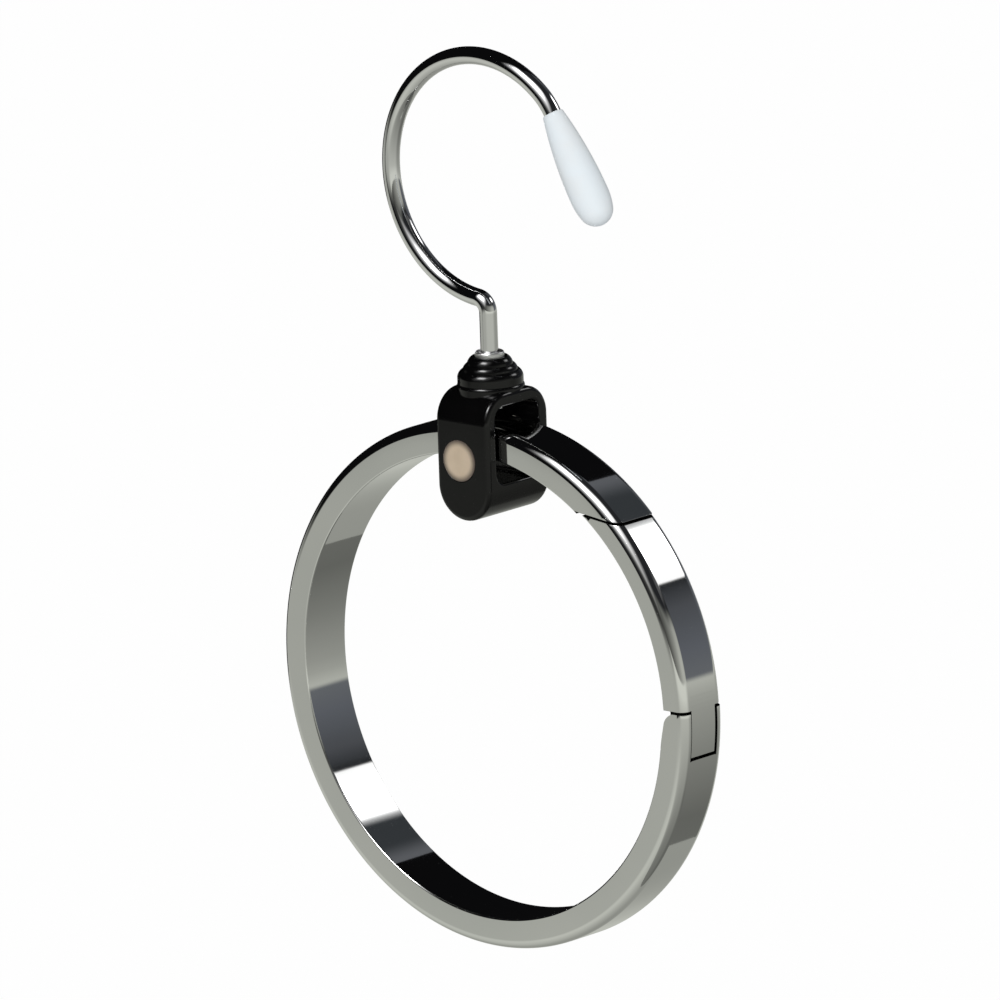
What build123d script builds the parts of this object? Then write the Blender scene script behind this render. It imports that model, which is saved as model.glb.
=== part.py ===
# A scarf hanger: a swivelling wire hook, a black yoke under it, and a flat-banded ring with a sprung gate.
# Millimetres, +Z up. The origin is the rail seat, the inside top of the hook, on the stem's axis.
# The hook and the ring lie in the XZ plane, and the front of the hanger faces -Y.
from math import asin, atan2, cos, isclose, radians, sin, sqrt, tan
import os

from build123d import *

# Ring band
ring_outer_radius = 57.5
ring_thickness = 6.7
ring_width = 12.9
ring_outer_round = 2.1
ring_inner_round = 0.35

# Gate: the sprung stretch of the band between the latch cut and the hinge
gate_inner_relief = 0.7
gate_outer_relief = 0.2
gate_side_relief = 0.1
latch_cut_polar = 50.3
latch_cut_slope = 6.5
latch_gap = 0.5

# Hinge: a fork on the ring and a tongue on the gate, heights measured from the ring's centre
cheek_top = 1.75
shoulder_gap = 0.5
cheek_flank_foot = -6.5
cheek_flank_top_in = 1.4
cheek_nose_round = 3.2
slot_width = 8.3
slot_depth = 10.4
tongue_side_gap = 0.2
heel_gap = 0.6
hinge_pin_radius = 1.1
hinge_pin_inset = 2.25
hinge_pin_drop = 5.2
pin_blind_wall = 0.8
hinge_pin_sunk = 0.8
cam_drop = 2.4
lobe_inner_offset = 0.8
tongue_corner_round = 0.5

# Gate spring and its plunger, in a blind hole in the bottom of the slot
plunger_radius = 1.2
plunger_offset = 2.4
plunger_guided_length = 3.5
plunger_rest_gap = 0.1
plunger_tail_chamfer = 0.25
spring_length = 4.0
spring_wire_radius = 0.17
spring_mean_radius = 0.95
spring_turns = 5
spring_wire_sides = 6
spring_hole_spare = 0.1
spring_end_seat = 0.02

# Yoke
yoke_width = 14.8
yoke_plate = 2.85
yoke_height = 27.8
yoke_below_hook_centre = 45.1
yoke_crown_round = 6.5
yoke_edge_round = 1.1
window_side_room = 0.55
window_floor = 8.2
window_roof = 3.0
window_corner_round = 2.6
window_edge_round = 0.6
neck_seat_radius = 7.3
neck_seat_height = 0.1

# Stepped collar on the yoke: edge radii and step heights from its foot to its top
collar_foot_radius = 7.3
collar_foot_height = 0.7
collar_foot_round = 0.45
collar_lower_radius = 7.05
collar_lower_height = 2.8
collar_middle_radius = 5.9
collar_middle_height = 1.25
collar_upper_radius = 4.95
collar_upper_height = 1.65
collar_step_round = 0.85
collar_groove = 0.35

# Stem bush: the bright flanged liner that the stem turns in
bush_flange_radius = 3.15
bush_flange_thickness = 1.1
bush_flange_round = 0.25
bush_wall = 0.75
bush_mouth_depth = 1.2
bush_mouth_spread = 0.5

# Hook wire
wire_radius = 1.9
hook_radius = 26.4
neck_bend_radius = 3.0
crest_end_polar = 50.0
nose_bend_radius = 15.0
nose_bend_angle = 19.8
stem_head_radius = 2.9
stem_head_thickness = 1.2
stem_head_round = 0.35
washer_radius = 3.7
washer_thickness = 0.6
washer_axial_play = 0.05

# Soft cap on the hook's nose
cap_length = 26.0
cap_mouth_wall = 0.35
cap_mouth_round = 0.25
cap_belly_radius = 4.2
cap_belly_from_end = 6.9
cap_nose_radius = 3.75
cap_end_cover = 6.5

# Pin that the ring swings on, and the thin washers beside the band
swing_pin_radius = 1.25
swing_pin_above_yoke_bottom = 17.15
swing_pin_in_front_plate = 1.4
swing_washer_radius = 2.7
swing_washer_gap = 0.05
swing_pin_end_chamfer = 0.2

# Plain round inlay on the yoke's front
inlay_radius = 4.5
inlay_above_yoke_bottom = 13.1
inlay_left_of_stem = 0.9
inlay_recess = 0.6
inlay_proud = 0.15
inlay_edge_chamfer = 0.1

# Fits
running_clearance = 0.05
cut_overrun = 4.0

# Worked-out places
ring_inner_radius = ring_outer_radius - ring_thickness
band_mid_radius = ring_outer_radius - ring_thickness / 2
gate_outer_radius = ring_outer_radius - gate_outer_relief
gate_inner_radius = ring_inner_radius + gate_inner_relief
gate_width = ring_width - 2 * gate_side_relief
hook_centre_z = wire_radius - hook_radius
yoke_top = hook_centre_z - yoke_below_hook_centre
yoke_bottom = yoke_top - yoke_height
window_width = ring_width + 2 * window_side_room
yoke_depth = window_width + 2 * yoke_plate
window_bottom = yoke_bottom + window_floor
window_top = yoke_top - window_roof
collar_seat = yoke_top + neck_seat_height
collar_height = collar_foot_height + collar_lower_height + collar_middle_height + collar_upper_height
collar_top = collar_seat + collar_height
slot_bottom = cheek_top - slot_depth
shoulder = cheek_top + shoulder_gap
heel = slot_bottom + heel_gap
hinge_x = ring_outer_radius - hinge_pin_inset
hinge_z = cheek_top - hinge_pin_drop
cam_flat = hinge_z - cam_drop
plunger_x = hinge_x - plunger_offset
swing_pin_z = yoke_bottom + swing_pin_above_yoke_bottom
ring_centre_z = swing_pin_z - band_mid_radius
tongue_width = slot_width - 2 * tongue_side_gap


def ring_place():
    """Where the ring's own centre lies in the hanger's frame."""
    return Pos(0, 0, ring_centre_z)


def along_y(radius, start, end, x, z):
    """A round bar along Y between two places."""
    bar = Cylinder(radius, end - start, align=(Align.CENTER, Align.CENTER, Align.MIN))
    return Pos(x, start, z) * Rot(-90, 0, 0) * bar


def upright(radius, bottom, top, x=0.0):
    """A round bar along Z between two heights."""
    return Pos(x, 0, bottom) * Cylinder(radius, top - bottom, align=(Align.CENTER, Align.CENTER, Align.MIN))


def band(inner_radius, outer_radius, width, outer_round, inner_round):
    """A full flat band about the Y axis, rounded along its outer and inner edges."""
    section = Rectangle(outer_radius - inner_radius, width)
    section = Pos((outer_radius + inner_radius) / 2, 0) * section
    outer_corners = section.vertices().filter_by(lambda v: v.X > (outer_radius + inner_radius) / 2)
    section = fillet(outer_corners, outer_round)
    if inner_round:
        inner_corners = section.vertices().sort_by(Axis.X)[:2]
        section = fillet(inner_corners, inner_round)
    return revolve(section, Axis.Y)


def through_width(points, rounds=()):
    """A prism through the band from an outline in X and Z, with some of its corners rounded."""
    outline = Polyline(*points, close=True)
    face = make_face(outline)
    for corner, radius in rounds:
        place = Vector(corner[0], corner[1], 0)
        nearest_corner = face.vertices().sort_by_distance(place)[0]
        face = fillet(nearest_corner, radius)
    reach = ring_width / 2 + cut_overrun
    return Rot(90, 0, 0) * extrude(face, reach, both=True)


def latch_line(drop, x):
    """Height of the slanted latch cut at x, lowered by drop square to the cut."""
    middle_x = band_mid_radius * cos(radians(latch_cut_polar))
    middle_z = band_mid_radius * sin(radians(latch_cut_polar))
    slope = tan(radians(latch_cut_slope))
    return middle_z - (x - middle_x) * slope - drop / cos(radians(latch_cut_slope))


def gate_opening():
    """The stretch taken out of the band for the gate, with the fork's nose left rounded."""
    far = ring_outer_radius + cut_overrun
    near = ring_inner_radius * cos(radians(latch_cut_polar)) - 2 * cut_overrun
    foot_x = sqrt(ring_inner_radius ** 2 - cheek_flank_foot ** 2)
    top_x = ring_inner_radius + cheek_flank_top_in
    lean = (top_x - foot_x) / (cheek_top - cheek_flank_foot)
    inside_z = cheek_flank_foot - 2 * cut_overrun
    inside_x = foot_x - 2 * cut_overrun * lean
    outline = [(near, latch_line(0, near)), (far, latch_line(0, far)), (far, cheek_top),
               (top_x, cheek_top), (inside_x, inside_z), (near, inside_z)]
    return through_width(outline, [((top_x, cheek_top), cheek_nose_round)])


def make_ring_body():
    """The fixed part of the ring: band, fork, spring hole, and the holes for both pins."""
    body = band(ring_inner_radius, ring_outer_radius, ring_width, ring_outer_round, ring_inner_round)
    body -= gate_opening()
    slot_reach = ring_thickness + cut_overrun
    slot = Box(slot_reach, slot_width, slot_depth + cut_overrun,
               align=(Align.CENTER, Align.CENTER, Align.MIN))
    body -= Pos(band_mid_radius, 0, slot_bottom) * slot
    hole_depth = plunger_guided_length + spring_length + spring_hole_spare
    body -= upright(plunger_radius + running_clearance, slot_bottom - hole_depth, slot_bottom + cut_overrun,
                    plunger_x)
    blind = -ring_width / 2 + pin_blind_wall
    body -= along_y(hinge_pin_radius, blind, ring_width / 2 + cut_overrun, hinge_x, hinge_z)
    swing_hole = swing_pin_radius + running_clearance
    body -= along_y(swing_hole, -ring_width, ring_width, 0, band_mid_radius)
    return ring_place() * body


def make_gate():
    """The gate: a stretch of slightly thinner band with a tongue, a cam flat and a stop lobe."""
    far = ring_outer_radius + cut_overrun
    near = ring_inner_radius * cos(radians(latch_cut_polar)) - 2 * cut_overrun
    arm_zone = through_width([(near, latch_line(latch_gap, near)), (far, latch_line(latch_gap, far)),
                              (far, shoulder), (near, shoulder)])
    arm = band(gate_inner_radius, gate_outer_radius, gate_width, ring_outer_round, ring_inner_round)
    arm &= arm_zone
    lobe_x = hinge_x - lobe_inner_offset
    overlap = ring_thickness
    tongue_zone = through_width([(near, cam_flat), (lobe_x, cam_flat), (lobe_x, heel), (far, heel),
                                 (far, shoulder + overlap), (near, shoulder + overlap)],
                                [((lobe_x, heel), tongue_corner_round)])
    tongue = band(gate_inner_radius, gate_outer_radius, tongue_width, ring_inner_round, 0) & tongue_zone
    gate = arm + tongue
    bore = hinge_pin_radius + running_clearance
    gate -= along_y(bore, -gate_width, gate_width, hinge_x, hinge_z)
    return ring_place() * gate


def make_hinge_pin():
    """The gate's pin: pressed into both cheeks from the back, with a running fit in the tongue."""
    blind = -ring_width / 2 + pin_blind_wall
    back = ring_width / 2 - hinge_pin_sunk
    return ring_place() * along_y(hinge_pin_radius, blind, back, hinge_x, hinge_z)


def make_plunger():
    """The round-nosed plunger that pushes on the tongue's cam flat."""
    tail = slot_bottom - plunger_guided_length
    tip = cam_flat - plunger_rest_gap
    shank = upright(plunger_radius, tail, tip - plunger_radius, plunger_x)
    shank = chamfer(shank.faces().sort_by(Axis.Z)[0].edges(), plunger_tail_chamfer)
    nose = Pos(plunger_x, 0, tip - plunger_radius) * Sphere(plunger_radius)
    return ring_place() * (shank + nose)


def make_gate_spring():
    """The compression spring between the plunger and the bottom of its hole."""
    top = slot_bottom - plunger_guided_length - spring_end_seat - spring_wire_radius
    bottom = slot_bottom - plunger_guided_length - spring_length + spring_wire_radius
    coil = Helix((top - bottom) / spring_turns, top - bottom, spring_mean_radius)
    section = Plane(coil @ 0, z_dir=coil % 0) * RegularPolygon(spring_wire_radius, spring_wire_sides)
    wire = sweep(section, path=coil, is_frenet=True)
    return ring_place() * Pos(plunger_x, 0, bottom) * wire


def make_yoke_body():
    """The black yoke: a block with a half-round foot and an arched crown, a window and a neck seat."""
    half = yoke_width / 2
    foot_z = yoke_bottom + half
    outline = Pos(0, foot_z) * (Circle(half) + Rectangle(yoke_width, yoke_top - foot_z,
                                                         align=(Align.CENTER, Align.MIN)))
    block = Rot(90, 0, 0) * extrude(outline, yoke_depth / 2, both=True)
    crown = Rectangle(yoke_depth, yoke_height)
    crown = fillet(crown.vertices().sort_by(Axis.Y)[-2:], yoke_crown_round)
    crown = Rot(0, 0, 90) * Rot(90, 0, 0) * extrude(crown, half, both=True)
    block &= Pos(0, 0, (yoke_top + yoke_bottom) / 2) * crown
    block = fillet(block.edges(), yoke_edge_round)
    window = RectangleRounded(window_width, window_top - window_bottom, window_corner_round)
    window = Rot(0, 0, 90) * Rot(90, 0, 0) * extrude(window, yoke_width, both=True)
    block -= Pos(0, 0, (window_top + window_bottom) / 2) * window
    block = fillet(window_rims(block), window_edge_round)
    block += upright(neck_seat_radius, window_top, collar_seat)
    block -= upright(wire_radius + running_clearance + bush_wall, window_top - cut_overrun,
                     collar_seat + cut_overrun)
    front = -yoke_depth / 2
    plate_inside = -window_width / 2
    block -= along_y(swing_pin_radius, plate_inside - swing_pin_in_front_plate, yoke_depth, 0, swing_pin_z)
    block -= along_y(inlay_radius, front - cut_overrun, front + inlay_recess, -inlay_left_of_stem,
                     yoke_bottom + inlay_above_yoke_bottom)
    return block


def window_rims(block):
    """The edges of the window in the yoke's two sides."""
    half = yoke_width / 2

    def on_rim(edge):
        middle = edge.center()
        level = window_bottom <= middle.Z + window_edge_round and middle.Z - window_edge_round <= window_top
        return isclose(abs(middle.X), half) and abs(middle.Y) <= window_width / 2 and level

    return block.edges().filter_by(on_rim)


def make_front_inlay():
    """The plain round inlay in the yoke's front."""
    front = -yoke_depth / 2
    disc = along_y(inlay_radius, front - inlay_proud, front + inlay_recess, -inlay_left_of_stem,
                   yoke_bottom + inlay_above_yoke_bottom)
    return chamfer(disc.faces().sort_by(Axis.Y)[0].edges(), inlay_edge_chamfer)


def make_swing_pin():
    """The pin across the yoke that the ring hangs and swings on."""
    start = -window_width / 2 - swing_pin_in_front_plate
    end = yoke_depth / 2
    pin = along_y(swing_pin_radius, start, end, 0, swing_pin_z)
    return chamfer(pin.faces().sort_by(Axis.Y)[0].edges(), swing_pin_end_chamfer)


def make_swing_washer(side):
    """A thin washer on the swing pin between the band and a plate; side is -1 in front and 1 behind."""
    thickness = (window_width - ring_width) / 2 - 2 * swing_washer_gap
    start = ring_width / 2 + swing_washer_gap
    places = sorted((side * start, side * (start + thickness)))
    disc = along_y(swing_washer_radius, places[0], places[1], 0, swing_pin_z)
    hole = along_y(swing_pin_radius + running_clearance, places[0] - cut_overrun, places[1] + cut_overrun,
                   0, swing_pin_z)
    return disc - hole


def make_swivel_collar():
    """The stepped black collar between the yoke and the stem's bush."""
    steps = [(collar_foot_radius, collar_foot_height), (collar_lower_radius, collar_lower_height),
             (collar_middle_radius, collar_middle_height), (collar_upper_radius, collar_upper_height)]
    collar = None
    level = collar_seat
    for number, (radius, height) in enumerate(steps):
        round_size = collar_foot_round if number == 0 else collar_step_round
        step = upright(radius, level, level + height)
        step = fillet(step.faces().sort_by(Axis.Z)[-1].edges(), round_size)
        level += height
        collar = step if collar is None else collar + step
        if number < len(steps) - 1:
            inset = steps[number + 1][0] - collar_groove
            collar += upright(inset, level - height, level)
    bore = wire_radius + running_clearance + bush_wall
    collar -= upright(bore, collar_seat - cut_overrun, collar_top + cut_overrun)
    return collar


def make_stem_bush():
    """The bright bush: a tube through the collar and yoke with a flange on top and a wider mouth."""
    bore = wire_radius + running_clearance
    tube = upright(bore + bush_wall, window_top, collar_top)
    flange = upright(bush_flange_radius, collar_top, collar_top + bush_flange_thickness)
    flange = fillet(flange.faces().sort_by(Axis.Z)[-1].edges(), bush_flange_round)
    bush = tube + flange
    top = collar_top + bush_flange_thickness
    bush -= upright(bore, window_top - cut_overrun, top + cut_overrun)
    mouth = Cone(bore, bore + bush_mouth_spread, bush_mouth_depth,
                 align=(Align.CENTER, Align.CENTER, Align.MIN))
    return bush - Pos(0, 0, top - bush_mouth_depth) * mouth


def make_stem_washer():
    """The washer between the stem's head and the roof of the window."""
    top = window_top - washer_axial_play
    ring = upright(washer_radius, top - washer_thickness, top)
    return ring - upright(wire_radius + running_clearance, top - cut_overrun, top + cut_overrun)


def polar_place(radius, angle, centre):
    """The X and Z of a place on a circle in the hook's plane."""
    return centre[0] + radius * cos(angle), centre[1] + radius * sin(angle)


def nose_end():
    """Where the wire's last bend ends and its straight nose begins, with the nose's polar angle."""
    inset = hook_radius - nose_bend_radius
    start = polar_place(hook_radius, radians(crest_end_polar), (0, hook_centre_z))
    centre = polar_place(inset, radians(crest_end_polar), (0, hook_centre_z))
    polar = crest_end_polar - nose_bend_angle
    return start, centre, polar_place(nose_bend_radius, radians(polar), centre), polar


def hook_path():
    """The hook's centre line: stem, neck bend, round crest, nose bend and straight nose."""
    head_top = window_top - washer_axial_play - washer_thickness
    span = hook_radius + neck_bend_radius
    bend_z = hook_centre_z - sqrt(span ** 2 - neck_bend_radius ** 2)
    lean = asin(neck_bend_radius / span)
    touch_polar = radians(270) - lean
    bend_middle = polar_place(neck_bend_radius, (radians(90) - lean) / 2, (-neck_bend_radius, bend_z))
    touch = polar_place(hook_radius, touch_polar, (0, hook_centre_z))
    crest_polar = (touch_polar + radians(crest_end_polar)) / 2
    crest_middle = polar_place(hook_radius, crest_polar, (0, hook_centre_z))
    crest_end, centre, straight_start, polar = nose_end()
    nose_middle = polar_place(nose_bend_radius, radians((crest_end_polar + polar) / 2), centre)
    nose_tip = polar_place(cap_length - cap_end_cover, radians(polar - 90), straight_start)

    def lift(point):
        return (point[0], 0, point[1])

    return Wire([Line((0, 0, head_top - stem_head_thickness), (0, 0, bend_z)),
                 ThreePointArc((0, 0, bend_z), lift(bend_middle), lift(touch)),
                 ThreePointArc(lift(touch), lift(crest_middle), lift(crest_end)),
                 ThreePointArc(lift(crest_end), lift(nose_middle), lift(straight_start)),
                 Line(lift(straight_start), lift(nose_tip))])


def make_hook_wire():
    """The hook: one bent wire with an upset head on its lower end."""
    head_top = window_top - washer_axial_play - washer_thickness
    section = Pos(0, 0, head_top - stem_head_thickness) * Circle(wire_radius)
    wire = sweep(section, path=hook_path())
    head = upright(stem_head_radius, head_top - stem_head_thickness, head_top)
    head = fillet(head.edges(), stem_head_round)
    return wire + head


def make_hook_tip():
    """The club-shaped soft cap on the hook's nose."""
    _, _, start, polar = nose_end()
    mouth = wire_radius + cap_mouth_wall
    swell = cap_belly_radius - mouth
    belly = cap_length - cap_belly_from_end
    sweep_radius = (swell ** 2 + belly ** 2) / (2 * swell)
    half_way = sweep_radius - sqrt(sweep_radius ** 2 - (belly / 2) ** 2)
    side = ThreePointArc((mouth, 0), (cap_belly_radius - half_way, belly / 2), (cap_belly_radius, belly))
    nose_centre = cap_length - cap_nose_radius
    rise = nose_centre - belly
    narrowing = cap_belly_radius - cap_nose_radius
    shoulder_radius = (cap_belly_radius ** 2 + rise ** 2 - cap_nose_radius ** 2) / (2 * narrowing)
    shoulder_centre = (cap_belly_radius - shoulder_radius, belly)
    turn_in = atan2(rise, -shoulder_centre[0])
    touch = polar_place(shoulder_radius, turn_in, shoulder_centre)
    shoulder_middle = polar_place(shoulder_radius, turn_in / 2, shoulder_centre)
    nose_middle = polar_place(cap_nose_radius, (turn_in + radians(90)) / 2, (0, nose_centre))
    end = [ThreePointArc((cap_belly_radius, belly), shoulder_middle, touch),
           ThreePointArc(touch, nose_middle, (0, cap_length))]
    outline = Wire([Line((0, 0), (mouth, 0)), side, *end, Line((0, cap_length), (0, 0))])
    club = revolve(Rot(90, 0, 0) * make_face(outline), Axis.Z)
    club = fillet(club.faces().sort_by(Axis.Z)[0].edges(), cap_mouth_round)
    club -= upright(wire_radius, -cut_overrun, cap_length - cap_end_cover)
    turn = 180 - polar
    return Pos(start[0], 0, start[1]) * Rot(0, turn, 0) * club


def main():
    """Build every piece and write it to its own file."""
    os.makedirs("parts", exist_ok=True)
    pieces = {
        "hook_wire": make_hook_wire(),
        "hook_tip": make_hook_tip(),
        "stem_bush": make_stem_bush(),
        "swivel_collar": make_swivel_collar(),
        "stem_washer": make_stem_washer(),
        "yoke_body": make_yoke_body(),
        "front_inlay": make_front_inlay(),
        "swing_pin": make_swing_pin(),
        "front_swing_washer": make_swing_washer(-1),
        "rear_swing_washer": make_swing_washer(1),
        "ring_body": make_ring_body(),
        "gate": make_gate(),
        "hinge_pin": make_hinge_pin(),
        "gate_plunger": make_plunger(),
        "gate_spring": make_gate_spring(),
    }
    for name, piece in pieces.items():
        export_step(piece, f"parts/{name}.step")
        print(name, round(piece.volume, 1))


main()
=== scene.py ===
"""Looks of a scarf hanger: a chrome hook, a black yoke and a flat ring with a sprung gate.

The pieces' sizes are given in millimetres and built in metres, in the CAD model's own frame: +Z up, the
rail's seat at the origin, the front facing -Y. MERGE and ON_PLANE are in metres, BEYOND is how far a
cutting solid reaches past what it cuts, and RING_Z is the height of the ring's middle.
"""
from __future__ import annotations

import logging
from collections.abc import Callable, Sequence
from dataclasses import dataclass
from enum import Enum
from math import asin, atan2, cos, degrees, pi, radians, sin, sqrt, tan
from typing import Any

import bmesh
import bpy
from mathutils import Matrix, Vector

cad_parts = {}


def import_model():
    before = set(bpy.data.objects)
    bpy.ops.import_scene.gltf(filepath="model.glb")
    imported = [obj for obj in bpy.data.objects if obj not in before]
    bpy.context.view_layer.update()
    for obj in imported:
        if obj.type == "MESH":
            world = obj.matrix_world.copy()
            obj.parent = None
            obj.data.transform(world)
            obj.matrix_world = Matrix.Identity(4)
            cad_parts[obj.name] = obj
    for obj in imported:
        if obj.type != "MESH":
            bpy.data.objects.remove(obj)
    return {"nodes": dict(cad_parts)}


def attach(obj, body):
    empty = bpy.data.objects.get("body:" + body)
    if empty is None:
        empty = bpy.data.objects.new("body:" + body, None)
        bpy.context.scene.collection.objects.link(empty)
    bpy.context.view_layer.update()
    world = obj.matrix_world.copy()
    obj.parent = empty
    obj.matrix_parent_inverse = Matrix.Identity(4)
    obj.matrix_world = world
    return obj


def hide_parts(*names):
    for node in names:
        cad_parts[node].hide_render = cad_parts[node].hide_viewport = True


log = logging.getLogger("scarf_hanger")

MM = 0.001
MERGE = 2e-6
ON_PLANE = 1e-7
BEYOND = 4.0
RING_Z = -134.4
Place = tuple[float, float, float]
Colour = tuple[float, float, float]
Span = tuple[float, float]
Greys = tuple[tuple[float, float], ...]
Tints = Sequence[tuple[float, Colour]]
UPWARD: Place = (0.0, 0.0, 1.0)
DOWNWARD: Place = (0.0, 0.0, -1.0)
BACKWARD: Place = (0.0, 1.0, 0.0)
RIGHTWARD: Place = (1.0, 0.0, 0.0)


class Pick(Enum):
    """What is chosen in edit mode."""

    POINTS = "VERT"
    EDGES = "EDGE"
    FACES = "FACE"


class Cut(Enum):
    """How one solid works on another."""

    AWAY = "DIFFERENCE"
    JOIN = "UNION"
    KEEP = "INTERSECT"


class Body(Enum):
    """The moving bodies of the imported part."""

    HOOK = "hook"
    YOKE = "yoke"
    RING = "ring"
    GATE = "gate"


class Slot(Enum):
    """The record's material slots that the rebuilt pieces are listed with; nothing here gives them to the
    pieces.
    """

    HOOK_CHROME = "hook_chrome"
    BAND_CHROME = "band_chrome"
    BLACK_GLOSS = "black_gloss"
    WHITE_VINYL = "white_vinyl"
    INLAY_BEIGE = "inlay_beige"


def metres(*lengths: float) -> Place:
    """Millimetres as metres."""
    return tuple(length * MM for length in lengths)


def close_to(first: float, second: float, room: float = 0.004) -> bool:
    """Whether a length in metres is a length in millimetres, within some millimetres."""
    return abs(first / MM - second) < room


class Bench:
    """The hand moves that every piece is modelled with. Lengths are in millimetres."""

    @staticmethod
    def put_down() -> None:
        """Leave edit mode with nothing selected."""
        if bpy.context.mode != "OBJECT":
            bpy.ops.object.mode_set(mode="OBJECT")
        bpy.ops.object.select_all(action="DESELECT")

    @staticmethod
    def pick_up(piece: bpy.types.Object) -> None:
        """Select one piece alone and make it active.

        Args:
            piece: The piece.
        """
        Bench.put_down()
        piece.select_set(True)
        bpy.context.view_layer.objects.active = piece

    @staticmethod
    def open_up(piece: bpy.types.Object) -> None:
        """Enter edit mode on one piece with nothing chosen in it.

        Args:
            piece: The piece.
        """
        Bench.pick_up(piece)
        bpy.ops.object.mode_set(mode="EDIT")
        bpy.ops.mesh.select_all(action="DESELECT")

    @staticmethod
    def choose(piece: bpy.types.Object, kind: Pick, wanted: Callable[[Any], bool]) -> None:
        """Choose points, edges or faces of the piece that is in edit mode.

        Args:
            piece: The piece in edit mode.
            kind: What to choose.
            wanted: The test that each point, edge or face has to pass.
        """
        bpy.ops.mesh.select_mode(type=kind.value)
        bpy.ops.mesh.select_all(action="DESELECT")
        mesh = bmesh.from_edit_mesh(piece.data)
        group = {Pick.POINTS: mesh.verts, Pick.EDGES: mesh.edges, Pick.FACES: mesh.faces}[kind]
        chosen = [element for element in group if wanted(element)]
        for element in chosen:
            element.select_set(True)
        mesh.select_flush_mode()
        bmesh.update_edit_mesh(piece.data)
        if not chosen:
            raise ValueError(f"nothing to choose on {piece.name}")

    @staticmethod
    def settle(piece: bpy.types.Object) -> bpy.types.Object:
        """Put a piece's place, turn and size into its mesh.

        Args:
            piece: The piece.

        Returns:
            The piece.
        """
        Bench.pick_up(piece)
        bpy.ops.object.transform_apply(location=True, rotation=True, scale=True)
        return piece

    @staticmethod
    def start(name: str, scale: Place = (1.0, 1.0, 1.0)) -> bpy.types.Object:
        """Name the primitive that was just added, give it its size and settle it.

        Args:
            name: Its name.
            scale: How much it is stretched along each axis.

        Returns:
            The piece.
        """
        piece = bpy.context.object
        piece.name = name
        piece.scale = scale
        return Bench.settle(piece)

    @staticmethod
    def face_out() -> None:
        """Turn all faces of the mesh in edit mode outwards."""
        bpy.ops.mesh.select_all(action="SELECT")
        bpy.ops.mesh.normals_make_consistent(inside=False)

    @staticmethod
    def merge_doubles() -> None:
        """Merge the points of the mesh in edit mode that lie on each other."""
        bpy.ops.mesh.select_all(action="SELECT")
        bpy.ops.mesh.remove_doubles(threshold=MERGE)

    @staticmethod
    def pull(x: float, y: float, z: float) -> None:
        """Extrude what is chosen along a way."""
        bpy.ops.mesh.extrude_region_move(TRANSFORM_OT_translate={"value": metres(x, y, z)})

    @staticmethod
    def score(x: float) -> None:
        """Cut the mesh in edit mode with a plane square to X and keep both sides."""
        bpy.ops.mesh.select_all(action="SELECT")
        bpy.ops.mesh.bisect(plane_co=metres(x, 0.0, 0.0), plane_no=RIGHTWARD, threshold=ON_PLANE)

    @staticmethod
    def bore_through(piece: bpy.types.Object) -> None:
        """Open both round ends of a turned form and join their edges with a wall.

        Args:
            piece: The piece in edit mode.
        """
        Bench.choose(piece, Pick.FACES, is_disc)
        bpy.ops.mesh.delete(type="ONLY_FACE")
        Bench.choose(piece, Pick.EDGES, lambda edge: edge.is_boundary)
        bpy.ops.mesh.bridge_edge_loops()

    @staticmethod
    def block(name: str, low: Place, high: Place) -> bpy.types.Object:
        """Add a block between two corners.

        Args:
            name: The block's name.
            low: Its lowest corner.
            high: Its highest corner.

        Returns:
            The block.
        """
        Bench.put_down()
        middle = metres(*((a + b) / 2 for a, b in zip(low, high)))
        bpy.ops.mesh.primitive_cube_add(size=1.0, location=middle)
        return Bench.start(name, metres(*(b - a for a, b in zip(low, high))))

    @staticmethod
    def bar(name: str, radius: float, start: Place, end: Place, sides: int = 72) -> bpy.types.Object:
        """Add a round bar between two places.

        Args:
            name: The bar's name.
            radius: Its radius.
            start: The middle of one end.
            end: The middle of the other end.
            sides: How many sides it has.

        Returns:
            The bar.
        """
        Bench.put_down()
        run = Vector(end) - Vector(start)
        middle = (Vector(end) + Vector(start)) / 2
        turn = run.to_track_quat("Z", "Y").to_euler()
        bpy.ops.mesh.primitive_cylinder_add(vertices=sides, radius=radius * MM, depth=run.length * MM,
                                            location=middle * MM, rotation=turn)
        return Bench.start(name)

    @staticmethod
    def disc(name: str, radius: float, place: Place, sides: int = 72) -> bpy.types.Object:
        """Add a filled level circle, the start of a turned piece.

        Args:
            name: The circle's name.
            radius: Its radius.
            place: Its middle.
            sides: How many sides it has.

        Returns:
            The circle.
        """
        Bench.put_down()
        bpy.ops.mesh.primitive_circle_add(vertices=sides, radius=radius * MM, fill_type="NGON",
                                          location=metres(*place))
        return Bench.start(name)

    @staticmethod
    def sheet_xz(name: str, low: tuple[float, float], high: tuple[float, float],
                 depth: float) -> bpy.types.Object:
        """Add an upright rectangle in X and Z.

        Args:
            name: Its name.
            low: Its lowest X and Z.
            high: Its highest X and Z.
            depth: Its Y.

        Returns:
            The rectangle.
        """
        Bench.put_down()
        middle = metres((low[0] + high[0]) / 2, depth, (low[1] + high[1]) / 2)
        bpy.ops.mesh.primitive_plane_add(size=1.0, location=middle, rotation=(pi / 2, 0.0, 0.0))
        return Bench.start(name, (*metres(high[0] - low[0], high[1] - low[1]), 1.0))

    @staticmethod
    def grow(rise: float, share: float, level: float) -> None:
        """Draw the chosen end face up and then change its size about the Z axis.

        Args:
            rise: How far it goes up.
            share: Its new radius over its old one.
            level: The height of its middle after the rise.
        """
        Bench.pull(0.0, 0.0, rise)
        if share != 1.0:
            bpy.ops.transform.resize(value=(share, share, 1.0), center_override=(0.0, 0.0, level * MM))

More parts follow.
